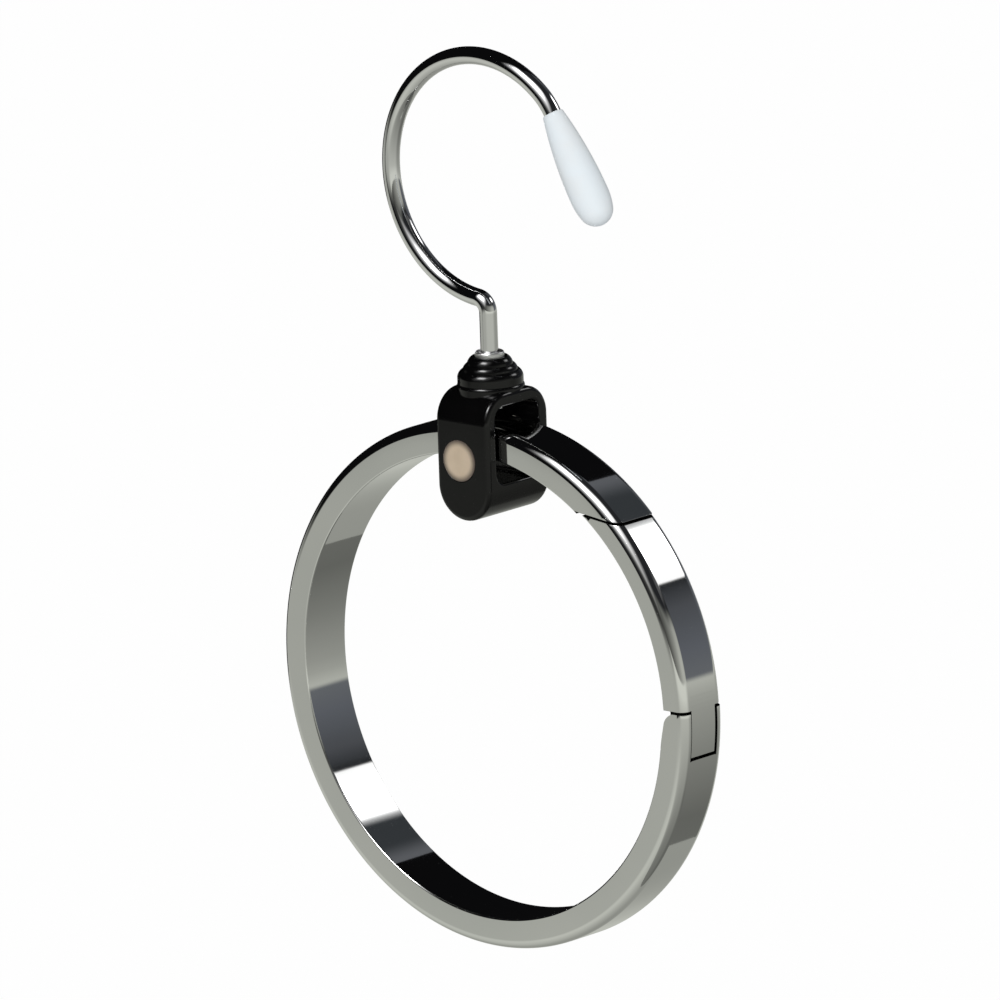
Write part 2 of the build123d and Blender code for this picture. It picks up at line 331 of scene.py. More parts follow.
    @staticmethod
    def turn_up(piece: bpy.types.Object, radius: float, level: float,
                stations: Sequence[tuple[float, float]]) -> None:
        """Grow a turned form from the circle in edit mode, through radii and heights.

        Args:
            piece: The circle that it starts from.
            radius: The circle's radius.
            level: The circle's height.
            stations: The radius and the height of each next circle.
        """
        Bench.choose(piece, Pick.FACES, lambda face: close_to(face.calc_center_median().z, level))
        for next_radius, next_level in stations:
            Bench.grow(next_level - level, next_radius / radius, next_level)
            radius, level = next_radius, next_level

    @staticmethod
    def swing(angle: float, centre: tuple[float, float], over: bool, steps: int) -> None:
        """Spin what is chosen about an axis along Y.

        Args:
            angle: How far, in radians.
            centre: The axis's X and Z.
            over: Whether it goes clockwise as seen from the front.
            steps: How many lengths the spin has.
        """
        bpy.ops.mesh.spin(steps=steps, angle=angle, center=metres(centre[0], 0.0, centre[1]),
                          axis=(0.0, -1.0 if over else 1.0, 0.0), use_auto_merge=False)

    @staticmethod
    def halve(point: Place, normal: Place, fill: bool = True) -> None:
        """Cut the mesh in edit mode with a plane and drop what is on the normal's side.

        Args:
            point: A place on the plane.
            normal: The plane's normal.
            fill: Whether the cut is closed.
        """
        bpy.ops.mesh.select_all(action="SELECT")
        bpy.ops.mesh.bisect(plane_co=metres(*point), plane_no=normal, use_fill=fill, clear_outer=True,
                            threshold=ON_PLANE)

    @staticmethod
    def work(piece: bpy.types.Object, tool: bpy.types.Object, how: Cut = Cut.AWAY) -> None:
        """Cut, join or keep one solid with another, which is used up.

        Args:
            piece: The solid that is worked on.
            tool: The solid that works on it.
            how: The kind of work.
        """
        for solid in (tool, piece):
            Bench.open_up(solid)
            Bench.face_out()
        Bench.pick_up(piece)
        step = piece.modifiers.new("work", "BOOLEAN")
        step.object = tool
        step.operation = how.value
        step.solver = "EXACT"
        bpy.ops.object.modifier_apply(modifier=step.name)
        bpy.data.objects.remove(tool, do_unlink=True)

    @staticmethod
    def round_edges(piece: bpy.types.Object, wanted: Callable[[Any], bool], size: float,
                    steps: int) -> None:
        """Round the chosen edges.

        Args:
            piece: The piece, in object or edit mode.
            wanted: The test that picks the edges.
            size: How far the round reaches from each edge.
            steps: How many faces it has across.
        """
        Bench.open_up(piece)
        Bench.choose(piece, Pick.EDGES, wanted)
        bpy.ops.mesh.bevel(offset=size * MM, offset_type="OFFSET", segments=steps, profile=0.5,
                           affect="EDGES", clamp_overlap=True)

    @staticmethod
    def finish(piece: bpy.types.Object, name: str, sharp: float = 32.0) -> bpy.types.Object:
        """Close, turn outwards and smooth a piece, with flats that stay flat.

        Args:
            piece: The piece.
            name: Its name in the finished model.
            sharp: The angle in degrees past which an edge stays sharp.

        Returns:
            The piece.
        """
        Bench.open_up(piece)
        Bench.merge_doubles()
        Bench.face_out()
        Bench.pick_up(piece)
        bpy.ops.object.shade_smooth_by_angle(angle=radians(sharp))
        flats = piece.modifiers.new("flats", "WEIGHTED_NORMAL")
        flats.keep_sharp = True
        bpy.ops.object.modifier_apply(modifier=flats.name)
        piece.name = name
        piece.data.name = name
        return piece


def is_corner(edge: Any, least: float = 50.0) -> bool:
    """Whether two faces meet at an edge at more than some degrees."""
    return edge.is_manifold and edge.calc_face_angle(0.0) > radians(least)


def is_disc(face: Any) -> bool:
    """Whether a face is the many-sided end of a turned form."""
    return len(face.verts) > 8


def is_level(edge: Any, height: float) -> bool:
    """Whether both ends of an edge are at a height."""
    return all(close_to(end.co.z, height) for end in edge.verts)


def is_hoop(edge: Any, radius: float) -> bool:
    """Whether both ends of an edge are at a radius from the Z axis."""
    return all(close_to(Vector(end.co[:2]).length, radius) for end in edge.verts)


def keeps_y(edge: Any) -> bool:
    """Whether both ends of an edge are at one Y."""
    return close_to(edge.verts[0].co.y, edge.verts[1].co.y / MM)


@dataclass(frozen=True)
class LatchCut:
    """The slanted cut that the gate closes on, in the ring's own X and Z."""

    polar: float = 50.3
    slope: float = 6.5
    band_middle: float = 54.15

    def point(self, drop: float = 0.0) -> Place:
        """A place on the cut.

        Args:
            drop: How far it is lowered, square to the cut.

        Returns:
            The place.
        """
        turn = radians(self.polar)
        lower = drop / cos(radians(self.slope))
        return (self.band_middle * cos(turn), 0.0, self.band_middle * sin(turn) - lower)

    def normal(self) -> Place:
        """The cut's upward normal."""
        return (sin(radians(self.slope)), 0.0, cos(radians(self.slope)))

    def level(self) -> float:
        """How far the cut is along its normal in the whole hanger's frame."""
        return Vector(self.point()).dot(Vector(self.normal())) + RING_Z * self.normal()[2]

    def on(self, place: Vector, drop: float = 0.0) -> bool:
        """Whether a place in metres lies on the cut."""
        return abs((Vector(self.point(drop)) - place / MM).dot(Vector(self.normal()))) < 0.01


Slab = tuple[Place, float, float]


@dataclass(frozen=True)
class GateGaps:
    """Where the narrow gaps round the gate are, as slabs along X, Y, Z or the latch cut's normal; the band's
    finish paints shade on the faces inside them.

    The heights are the ring's own, from its middle up.
    """

    latch: LatchCut = LatchCut()
    latch_span: Span = (-0.55, 0.05)
    cheek_span: Span = (1.70, 2.30)
    cheek_inside: float = 3.90
    cheek_outside: float = 9.0
    side_span: Span = (-8.80, 2.35)
    side_reach: float = 4.20
    front_side: float = 3.72
    foot_span: Span = (-8.70, -8.00)
    right_span: Span = (20.0, 90.0)

    def slabs(self) -> tuple[tuple[Slab, ...], ...]:
        """The slabs that share each gap: the latch, both cheeks' tops, both slot sides and its foot.

        Returns:
            One tuple of slabs for each gap.
        """
        level = self.latch.level()
        cheek, side, foot = [(UPWARD, RING_Z + low, RING_Z + high)
                             for low, high in (self.cheek_span, self.side_span, self.foot_span)]
        right = (RIGHTWARD, *self.right_span)
        return (((self.latch.normal(), level + self.latch_span[0], level + self.latch_span[1]), right),
                (cheek, (BACKWARD, self.cheek_inside, self.cheek_outside), right),
                (cheek, (BACKWARD, -self.cheek_outside, -self.cheek_inside), right),
                (side, (BACKWARD, self.cheek_inside, self.side_reach), right),
                (side, (BACKWARD, -self.side_reach, -self.front_side), right),
                (foot, (BACKWARD, -self.side_reach, self.side_reach), right))


class Signal:
    """A node's output that Python expressions can work with. Each sum adds its Math node."""

    def __init__(self, tree: NodeBench, socket: bpy.types.NodeSocket) -> None:
        """Keep the tree and the output socket."""
        self.tree = tree
        self.socket = socket

    def _sum(self, operation: str, first: Feed, second: Feed = 0.0) -> Signal:
        """Add a Math node and give its output."""
        return self.tree.node("ShaderNodeMath", {"operation": operation}, {0: first, 1: second})

    def __add__(self, other: Feed) -> Signal:
        """This plus other."""
        return self._sum("ADD", self, other)

    def __radd__(self, other: Feed) -> Signal:
        """Other plus this."""
        return self._sum("ADD", other, self)

    def __sub__(self, other: Feed) -> Signal:
        """This less other."""
        return self._sum("SUBTRACT", self, other)

    def __rsub__(self, other: Feed) -> Signal:
        """Other less this."""
        return self._sum("SUBTRACT", other, self)

    def __mul__(self, other: Feed) -> Signal:
        """This times other."""
        return self._sum("MULTIPLY", self, other)

    def __rmul__(self, other: Feed) -> Signal:
        """Other times this."""
        return self._sum("MULTIPLY", other, self)

    def __truediv__(self, other: Feed) -> Signal:
        """This over other."""
        return self._sum("DIVIDE", self, other)

    def __gt__(self, other: Feed) -> Signal:
        """1 where this is more than other, else 0."""
        return self._sum("GREATER_THAN", self, other)

    def __lt__(self, other: Feed) -> Signal:
        """1 where this is less than other, else 0."""
        return self._sum("LESS_THAN", self, other)

    def bent(self, operation: str, other: Feed = 0.0) -> Signal:
        """Any other Math operation on this and other."""
        return self._sum(operation, self, other)

    def span(self, low: float, high: float) -> Signal:
        """0 below low and 1 above high, eased between them."""
        return self.tree.node("ShaderNodeMapRange", {"interpolation_type": "SMOOTHSTEP"},
                              {"Value": self, "From Min": low, "From Max": high})

    def ramp(self, stops: Tints) -> Signal:
        """A colour that follows this through the stops."""
        return self.tree.node("ShaderNodeValToRGB", {"stops": stops}, {"Fac": self})


Feed = Signal | float | Sequence[float]


class NodeBench:
    """A node tree that is written as expressions."""

    def __init__(self, tree: bpy.types.NodeTree) -> None:
        """Empty the tree and keep it."""
        tree.nodes.clear()
        self.tree = tree

    def node(self, kind: str, settings: dict[str, Any] | None = None,
             inputs: dict[str | int, Feed] | None = None, output: str | int = 0) -> Signal:
        """Add any node.

        Args:
            kind: The node's type.
            settings: Its settings, set first; "stops" are a ramp's stops.
            inputs: The value or the link of each socket that isn't left as it is.
            output: Which output is given back.

        Returns:
            That output, or the node's first input wrapped where it has no output.
        """
        made = self.tree.nodes.new(kind)
        for name, value in (settings or {}).items():
            if name == "stops":
                marks = made.color_ramp.elements
                while len(marks) < len(value):
                    marks.new(1.0)
                for mark, (place, colour) in zip(marks, value):
                    mark.position = place
                    mark.color = (*colour, 1.0)
            else:
                setattr(made, name, value)
        for key, value in (inputs or {}).items():
            if isinstance(value, Signal):
                self.tree.links.new(value.socket, made.inputs[key])
            else:
                made.inputs[key].default_value = value
        return Signal(self, made.outputs[output] if made.outputs else made.inputs[0])

    def mix(self, share: Feed, first: Feed, second: Feed) -> Signal:
        """A colour between two colours."""
        return self.node("ShaderNodeMix", {"data_type": "RGBA"}, {0: share, 6: first, 7: second}, 2)

    def place(self) -> Signal:
        """The place on the object, in metres."""
        return self.node("ShaderNodeTexCoord", output="Object")

    def vector(self, operation: str, first: Feed, second: Feed, output: str = "Value") -> Signal:
        """Any Vector Math operation on two vectors."""
        return self.node("ShaderNodeVectorMath", {"operation": operation}, {0: first, 1: second}, output)

    def noise(self, place: Signal, scale: float, detail: float = 2.0, stretch: Place = (1, 1, 1)) -> Signal:
        """Cloudy noise from 0 to 1.

        Args:
            place: The coordinates that it reads.
            scale: How many features it has to the metre.
            detail: How fine it goes.
            stretch: How much each axis is packed together.

        Returns:
            The noise.
        """
        spread = self.node("ShaderNodeMapping", {}, {"Vector": place, "Scale": stretch})
        return self.node("ShaderNodeTexNoise", {}, {"Vector": spread, "Scale": scale, "Detail": detail})

    def bump(self, height: Signal, depth: float) -> Signal:
        """A normal from a height and the depth in metres of its full range."""
        return self.node("ShaderNodeBump", {}, {"Height": height, "Distance": depth, "Strength": 1.0})


def linear(*levels: float) -> Colour:
    """A screen colour as linear light.

    Args:
        levels: Its red, green and blue, or one grey, from 0 to 255.

    Returns:
        The linear colour.
    """
    shown = levels if len(levels) == 3 else levels * 3
    return tuple((c / 255 / 12.92) if c / 255 <= 0.04045 else ((c / 255 + 0.055) / 1.055) ** 2.4
                 for c in shown)


@dataclass(frozen=True)
class Finish:
    """A surface: a colour and its darker cousin, and how both and the gloss vary."""

    name: str
    colour: Colour
    second_colour: Colour
    roughness: float
    roughness_swing: float
    metallic: float = 0.0
    coat: float = 0.0
    specular: float = 0.5
    cloud_scale: float = 90.0
    cloud_detail: float = 3.0
    cloud_share: float = 0.6
    colour_span: Span = (0.25, 0.75)
    grain_scale: float = 1200.0
    grain_depth: float = 2e-5
    grain_stretch: Place = (1.0, 1.0, 1.0)

    def material(self) -> bpy.types.Material:
        """Make the material once and give the same one after that.

        Returns:
            The material.
        """
        made = bpy.data.materials.get(self.name)
        if made is not None:
            return made
        made = bpy.data.materials.new(self.name)
        made.use_nodes = True
        tree = NodeBench(made.node_tree)
        place = tree.place()
        shader = tree.node("ShaderNodeBsdfPrincipled", {}, self._sockets(tree, place))
        tree.node("ShaderNodeOutputMaterial", {}, {"Surface": shader})
        return made

    def _sockets(self, tree: NodeBench, place: Signal) -> dict[str | int, Feed]:
        """What goes into the shader.

        Args:
            tree: The material's nodes.
            place: The place on the object.

        Returns:
            The value or the link of each socket.
        """
        cloud = tree.noise(place, self.cloud_scale, self.cloud_detail)
        grain = tree.noise(place, self.grain_scale, stretch=self.grain_stretch)
        mixed = cloud * self.cloud_share + grain * (1.0 - self.cloud_share)
        return {"Base Color": self._colour(tree, place, cloud),
                "Roughness": self.roughness + self.roughness_swing * mixed,
                "Metallic": self.metallic,
                "Coat Weight": self.coat,
                "Specular IOR Level": self.specular,
                "Normal": tree.bump(grain, self.grain_depth)}

    def _colour(self, tree: NodeBench, place: Signal, cloud: Signal) -> Signal:
        """The colour over the surface."""
        share = cloud.span(*self.colour_span)
        return tree.mix(share, (*self.colour, 1.0), (*self.second_colour, 1.0))


@dataclass(frozen=True)
class InlayFinish(Finish):
    """A matt disc that is paler in the middle and a little darker at its rim."""

    middle: Place = (0.0, 0.0, 0.0)
    rim_start: float = 3.0
    rim_end: float = 4.5
    rim_colour: Colour = (0.1, 0.1, 0.1)

    def _colour(self, tree: NodeBench, place: Signal, cloud: Signal) -> Signal:
        """The colour over the disc.

        Args:
            tree: The material's nodes.
            place: The place on the object.
            cloud: The noise that mixes the two colours.

        Returns:
            The colour.
        """
        away = tree.vector("DISTANCE", place, metres(*self.middle))
        face = super()._colour(tree, place, cloud)
        rim = away.span(self.rim_start * MM, self.rim_end * MM)
        return tree.mix(rim, face, (*self.rim_colour, 1.0))


@dataclass(frozen=True)
class BandFinish(Finish):
    """Bright plating that is rougher on the cut faces inside the narrow gaps round the gate, where painted
    shade colours those faces near black.

    A gap is what its slabs share, and a slab is a normal with the least and most distance along it.
    """

    gaps: tuple[tuple[Slab, ...], ...] = ()
    # painted shade: the near-black colour of the faces inside the gaps
    gap_shade_colour: Colour = (0.012, 0.012, 0.012)
    gap_roughness: float = 0.6

    def _sockets(self, tree: NodeBench, place: Signal) -> dict[str | int, Feed]:
        """What goes into the shader, with the gaps' faces rougher and darkened by painted shade.

        Args:
            tree: The material's nodes.
            place: The place on the object.

        Returns:
            The value or the link of each socket.
        """
        sockets = super()._sockets(tree, place)
        inside: Feed = 0.0
        for gap in self.gaps:
            share: Feed = 1.0
            for normal, low, high in gap:
                away = tree.vector("DOT_PRODUCT", place, normal)
                share = share * ((away > low * MM) * (away < high * MM))
            inside = inside + share
        inside = inside.bent("MINIMUM", 1.0)
        # painted shade: the faces inside the gaps take a near-black colour in place of the shade that falls
        # there
        sockets["Base Color"] = tree.mix(inside, sockets["Base Color"], (*self.gap_shade_colour, 1.0))
        sockets["Roughness"] = sockets["Roughness"] + inside * self.gap_roughness
        return sockets


class Finishes:
    """The hanger's finishes."""

    HOOK_CHROME = Finish("hook_chrome_finish", (0.80, 0.80, 0.80), (0.77, 0.77, 0.78), 0.035, 0.03, 1.0,
                         cloud_scale=70.0, grain_scale=420.0, grain_depth=1.2e-6)
    # the band's finish paints shade on the faces inside the gate's gaps
    BAND_CHROME = BandFinish("band_chrome_finish", (0.80, 0.80, 0.795), (0.77, 0.775, 0.77), 0.03, 0.03,
                             1.0, cloud_scale=45.0, grain_scale=300.0, grain_depth=1.2e-6,
                             gaps=GateGaps().slabs())
    BLACK_GLOSS = Finish("black_gloss_finish", (0.0026, 0.0025, 0.0026), (0.0018, 0.0018, 0.0019), 0.13,
                         0.05, specular=0.36, cloud_scale=110.0, grain_scale=700.0, grain_depth=4e-6)
    BUSH_STEEL = Finish("bush_steel_finish", (0.80, 0.80, 0.80), (0.76, 0.76, 0.76), 0.38, 0.08, 1.0,
                        cloud_scale=300.0, grain_scale=1200.0, grain_depth=1.2e-6)
    WHITE_VINYL = Finish("white_vinyl_finish", (0.80, 0.865, 0.905), (0.80, 0.84, 0.86), 0.55, 0.12,
                         specular=0.1, cloud_scale=140.0, grain_scale=2600.0, grain_depth=8e-6)
    INLAY_BEIGE = InlayFinish("inlay_beige_finish", linear(200, 183, 160), linear(190, 172, 148), 0.5, 0.15,
                              cloud_scale=260.0, grain_scale=2400.0, grain_depth=6e-6,
                              middle=(-0.9, -10.0, -84.3), rim_start=2.9, rim_end=4.6,
                              rim_colour=linear(88, 78, 70))
    PIN_STEEL = Finish("pin_steel_finish", (0.62, 0.61, 0.60), (0.52, 0.51, 0.50), 0.22, 0.14, 1.0,
                       cloud_scale=260.0, grain_scale=3200.0, grain_depth=3e-6,
                       grain_stretch=(1.0, 0.12, 1.0))
    SPRING_STEEL = Finish("spring_steel_finish", (0.52, 0.52, 0.53), (0.44, 0.44, 0.46), 0.28, 0.12, 1.0,
                          cloud_scale=600.0, grain_scale=5200.0, grain_depth=2e-6)
    NATURAL_NYLON = Finish("natural_nylon_finish", (0.74, 0.70, 0.62), (0.69, 0.65, 0.56), 0.4, 0.15,
                           cloud_scale=420.0, grain_scale=2800.0, grain_depth=6e-6)


class SubAssembly:
    """What every sub-assembly does with its finished pieces."""

    def dress(self, piece: bpy.types.Object, body: Body, node: str, slot: Slot, finish: Finish) -> None:
        """Give a new piece its finish and its body, and hide the CAD node that it stands for.

        Args:
            piece: The finished piece.
            body: The body that it rides on.
            node: The CAD node that it stands for.
            slot: The record's material slot; not used.
            finish: Its finish.
        """
        piece.data.materials.clear()
        piece.data.materials.append(finish.material())
        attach(piece, body.value)
        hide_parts(node)
        log.info("%s: %d faces on %s", piece.name, len(piece.data.polygons), body.value)

    def dress_node(self, nodes: dict[str, bpy.types.Object], name: str, finish: Finish) -> None:
        """Give a CAD node that stays its finish.

        Args:
            nodes: The frame's nodes.
            name: The node's name.
            finish: Its finish.
        """
        for slot in nodes[name].material_slots:
            slot.material = finish.material()
        log.info("%s keeps its CAD shape", name)


@dataclass
class HookUnit(SubAssembly):
    """The bent wire hook with its upset head, and the soft cap on its nose."""

    wire_radius: float = 1.9
    hook_radius: float = 26.4
    neck_radius: float = 3.0
    crest_end: float = 50.0
    nose_radius: float = 15.0
    nose_angle: float = 19.8
    nose_straight: float = 19.5
    head_radius: float = 2.9
    head_thickness: float = 1.2
    head_round: float = 0.35
    head_top: float = -73.25
    cap_length: float = 26.0
    cap_mouth: float = 2.25
    cap_mouth_round: float = 0.25
    cap_belly: float = 4.2
    cap_belly_back: float = 6.9
    cap_nose: float = 3.75
    cap_cover: float = 6.5
    cap_slack: float = 0.002
    neck_steps: int = 20
    crest_steps: int = 200
    nose_steps: int = 16
    flank_rings: int = 18
    shoulder_rings: int = 6
    nose_rings: int = 17

    @property
    def centre_z(self) -> float:
        """The height of the hook circle's middle."""
        return self.wire_radius - self.hook_radius

    @property
    def nose_start(self) -> tuple[float, float]:
        """Where the straight nose begins.

        Returns:
            Its X and Z.
        """
        near = self.hook_radius - self.nose_radius
        end = radians(self.crest_end)
        turn = radians(self.crest_end - self.nose_angle)
        return (near * cos(end) + self.nose_radius * cos(turn),
                self.centre_z + near * sin(end) + self.nose_radius * sin(turn))

    def build_wire(self) -> bpy.types.Object:
        """Draw the wire up its stem and bend it round the neck, the crest and the nose.

        Returns:
            The wire.
        """
        bottom = self.head_top - self.head_thickness
        wire = Bench.disc("wire", self.head_radius, (0.0, 0.0, bottom), sides=48)
        Bench.open_up(wire)
        span = self.hook_radius + self.neck_radius
        bend_z = self.centre_z - sqrt(span ** 2 - self.neck_radius ** 2)
        lean = asin(self.neck_radius / span)
        Bench.turn_up(wire, self.head_radius, bottom,
                      [(self.head_radius, self.head_top), (self.wire_radius, self.head_top),
                       (self.wire_radius, bend_z)])
        crest_start = 1.5 * pi - lean
        end = radians(self.crest_end)
        near = self.hook_radius - self.nose_radius
        Bench.swing(pi / 2 - lean, (-self.neck_radius, bend_z), over=False, steps=self.neck_steps)
        Bench.swing(crest_start - end, (0.0, self.centre_z), over=True, steps=self.crest_steps)
        Bench.swing(radians(self.nose_angle), (near * cos(end), self.centre_z + near * sin(end)),
                    over=True, steps=self.nose_steps)
        turn = radians(self.crest_end - self.nose_angle - 90.0)
        Bench.pull(self.nose_straight * cos(turn), 0.0, self.nose_straight * sin(turn))
        Bench.round_edges(wire, lambda edge: is_corner(edge) and is_hoop(edge, self.head_radius),
                          self.head_round, steps=4)
        return Bench.finish(wire, "hook_rod")

    def _cap_stations(self) -> list[tuple[float, float]]:
        """The cap's outline: a long arc to its belly, a shoulder, and a round nose.

        Returns:
            The radius and the height of each ring, from the mouth to near the end.
        """
        swell = self.cap_belly - self.cap_mouth
        belly = self.cap_length - self.cap_belly_back
        flank = (swell ** 2 + belly ** 2) / (2 * swell)
        nose_z = self.cap_length - self.cap_nose
        rise = nose_z - belly
        shoulder = ((self.cap_belly ** 2 + rise ** 2 - self.cap_nose ** 2)
                    / (2 * (self.cap_belly - self.cap_nose)))
        turn_in = atan2(rise, shoulder - self.cap_belly)
        stations = []
        for step in range(1, self.flank_rings + 1):
            height = belly * step / self.flank_rings
            stations.append((self.cap_belly - flank + sqrt(flank ** 2 - (belly - height) ** 2), height))
        for step in range(1, self.shoulder_rings + 1):
            turn = turn_in * step / self.shoulder_rings
            stations.append((self.cap_belly - shoulder + shoulder * cos(turn), belly + shoulder * sin(turn)))
        for step in range(1, self.nose_rings):
            turn = turn_in + (pi / 2 - turn_in) * step / self.nose_rings
            stations.append((self.cap_nose * cos(turn), nose_z + self.cap_nose * sin(turn)))
        return stations

    def build_cap(self) -> bpy.types.Object:
        """Turn up the club-shaped cap, bore it, and slip it over the nose.

        Returns:
            The cap.
        """
        cap = Bench.disc("cap", self.cap_mouth, (0.0, 0.0, 0.0), sides=64)
        Bench.open_up(cap)
        stations = self._cap_stations()
        Bench.turn_up(cap, self.cap_mouth, 0.0, stations)
        Bench.pull(0.0, 0.0, self.cap_length - stations[-1][1])
        bpy.ops.mesh.merge(type="CENTER")
        Bench.choose(cap, Pick.FACES, is_disc)
        Bench.grow(0.0, (self.wire_radius + self.cap_slack) / self.cap_mouth, 0.0)
        Bench.grow(self.cap_length - self.cap_cover, 1.0, 0.0)
        Bench.round_edges(cap, lambda edge: is_level(edge, 0.0) and is_hoop(edge, self.cap_mouth),
                          self.cap_mouth_round, steps=4)
        Bench.finish(cap, "soft_cap", sharp=40.0)
        x, z = self.nose_start
        cap.matrix_world = (Matrix.Translation(metres(x, 0.0, z))
                            @ Matrix.Rotation(radians(180.0 - self.crest_end + self.nose_angle), 4, "Y"))
        return Bench.settle(cap)

    def build(self, nodes: dict[str, bpy.types.Object]) -> None:
        """Build and dress everything on the hook.

        Args:
            nodes: The frame's nodes.
        """
        self.dress(self.build_wire(), Body.HOOK, "hook_wire", Slot.HOOK_CHROME, Finishes.HOOK_CHROME)
        self.dress(self.build_cap(), Body.HOOK, "hook_tip", Slot.WHITE_VINYL, Finishes.WHITE_VINYL)
        self.dress_node(nodes, "stem_washer", Finishes.PIN_STEEL)


@dataclass
class YokeUnit(SubAssembly):
    """The black yoke, its stepped collar and bright bush, and the plain round inlay.

    Each of the collar's steps has its radius, its height and the height of its bulge. The inlay's crown
    has shares of its radius with how far the face is below its middle there.
    """

    width: float = 14.8
    depth: float = 19.7
    top: float = -69.6
    bottom: float = -97.4
    crown_round: float = 6.5
    edge_round: float = 1.1
    window_width: float = 14.0
    window_bottom: float = -89.2
    window_top: float = -72.6
    window_round: float = 2.6
    rim_round: float = 0.6
    seat_radius: float = 7.3
    seat_top: float = -69.5
    seat_root: float = 1.0
    stem_hole: float = 2.7
    pin_radius: float = 1.25
    pin_front: float = -8.4
    pin_z: float = -80.25
    inlay_radius: float = 4.5
    inlay_x: float = -0.9
    inlay_z: float = -84.3
    inlay_recess: float = 0.6
    inlay_proud: float = 0.15
    inlay_slack: float = 0.02
    inlay_edge: float = 0.12
    inlay_crown: tuple[tuple[float, float], ...] = ((0.965, 0.05), (0.9, 0.02), (0.7, 0.008), (0.35, 0.0))
    pocket_round: float = 0.18
    collar_steps: tuple[tuple[float, float, float], ...] = ((7.3, 0.7, 0.7), (7.05, 2.8, 1.4),
                                                           (5.9, 1.25, 1.2), (4.95, 1.65, 1.65))
    bulge_low: float = 8.0
    bulge_high: float = 55.0
    bulge_rings: int = 14
    foot_steps: int = 48
    bush_bore: float = 1.95
    bush_flange: float = 3.15
    bush_thickness: float = 1.1
    bush_round: float = 0.5
    bush_mouth: float = 2.45
    bush_mouth_depth: float = 1.2
    bush_mouth_round: float = 0.12

    @property
    def collar_top(self) -> float:
        """The height of the collar's top."""
        return self.seat_top + sum(height for _, height, _ in self.collar_steps)

    def _blank(self) -> bpy.types.Object:
        """The yoke's block, with its half-round foot and arched crown.

        Returns:
            The block.
        """
        half, reach = self.width / 2, self.depth / 2
        foot = self.bottom + half
        blank = Bench.block("blank", (-half, -reach, foot), (half, reach, self.top))
        Bench.open_up(blank)
        Bench.choose(blank, Pick.FACES, lambda face: face.normal.z < -0.9)
        bpy.ops.mesh.delete(type="FACE")
        Bench.choose(blank, Pick.EDGES, lambda edge: is_level(edge, foot) and all(
            close_to(v.co.x, -half) for v in edge.verts))
        Bench.swing(pi, (0.0, foot), over=False, steps=self.foot_steps)
        Bench.merge_doubles()
        for side in (-reach, reach):
            Bench.choose(blank, Pick.EDGES, lambda edge: edge.is_boundary and all(
                close_to(v.co.y, side) for v in edge.verts))
            bpy.ops.mesh.edge_face_add()
        Bench.choose(blank, Pick.EDGES,
                     lambda edge: edge.is_manifold and is_level(edge, foot) and keeps_y(edge))
        bpy.ops.mesh.dissolve_edges(use_verts=False)
        Bench.face_out()
        Bench.round_edges(blank, lambda edge: is_level(edge, self.top) and keeps_y(edge),
                          self.crown_round, steps=20)
        Bench.round_edges(blank, lambda edge: is_corner(edge, 60.0), self.edge_round, steps=8)
        return blank

    def build_yoke(self) -> bpy.types.Object:
        """Cut the window, the holes and the inlay's pocket into the block and add the collar's seat.

        Returns:
            The yoke.
        """
        yoke = self._blank()
        half, reach = self.width / 2, self.depth / 2
        window = Bench.block("window", (-half - BEYOND, -self.window_width / 2, self.window_bottom),
                             (half + BEYOND, self.window_width / 2, self.window_top))
        Bench.round_edges(window, lambda edge: abs(edge.verts[0].co.x - edge.verts[1].co.x) > MM,
                          self.window_round, steps=12)
        Bench.work(yoke, window)

        def on_rim(edge: Any) -> bool:
            """Whether an edge is on the window's outline in a side."""
            middle = (edge.verts[0].co + edge.verts[1].co) / 2 / MM
            return (is_corner(edge, 60.0) and all(close_to(abs(v.co.x), half) for v in edge.verts)
                    and abs(middle.y) < self.window_width / 2 + 0.1
                    and self.window_bottom - 0.1 < middle.z < self.window_top + 0.1)

        Bench.round_edges(yoke, on_rim, self.rim_round, steps=5)
        Bench.work(yoke, Bench.bar("seat", self.seat_radius, (0.0, 0.0, self.window_top + self.seat_root),
                                   (0.0, 0.0, self.seat_top), sides=128), Cut.JOIN)
        Bench.work(yoke, Bench.bar("stem_way", self.stem_hole, (0.0, 0.0, self.window_top - BEYOND),
                                   (0.0, 0.0, self.seat_top + BEYOND)))
        Bench.work(yoke, Bench.bar("pin_way", self.pin_radius, (0.0, self.pin_front, self.pin_z),
                                   (0.0, reach + BEYOND, self.pin_z), sides=48))
        Bench.work(yoke, Bench.bar("pocket", self.inlay_radius, (self.inlay_x, -reach - BEYOND, self.inlay_z),
                                   (self.inlay_x, -reach + self.inlay_recess, self.inlay_z), sides=96))

        def on_pocket(edge: Any) -> bool:
            """Whether an edge is on the rim of the inlay's pocket."""
            centre = Vector(metres(self.inlay_x, -reach, self.inlay_z))
            return is_corner(edge, 60.0) and all(
                close_to(v.co.y, -reach) and close_to((v.co - centre).length, self.inlay_radius, 0.02)
                for v in edge.verts)

        Bench.round_edges(yoke, on_pocket, self.pocket_round, steps=3)
        return Bench.finish(yoke, "yoke_shell", sharp=30.0)

    def _bulge(self, radius: float, top: float, height: float) -> list[tuple[float, float]]:
        """The rounded side of a step of the collar.

        Args:
            radius: The step's radius at the bulge's foot.
            top: The height of the step's top.
            height: How high the bulge is.

        Returns:
            Radii and heights, up to the step's top.
        """
        low, high = radians(self.bulge_low), radians(self.bulge_high)
        size = height / (sin(high) - sin(low))
        turns = [low + (high - low) * step / self.bulge_rings for step in range(self.bulge_rings + 1)]
        return [(radius - size * (cos(low) - cos(turn)), top - size * (sin(high) - sin(turn)))
                for turn in turns]

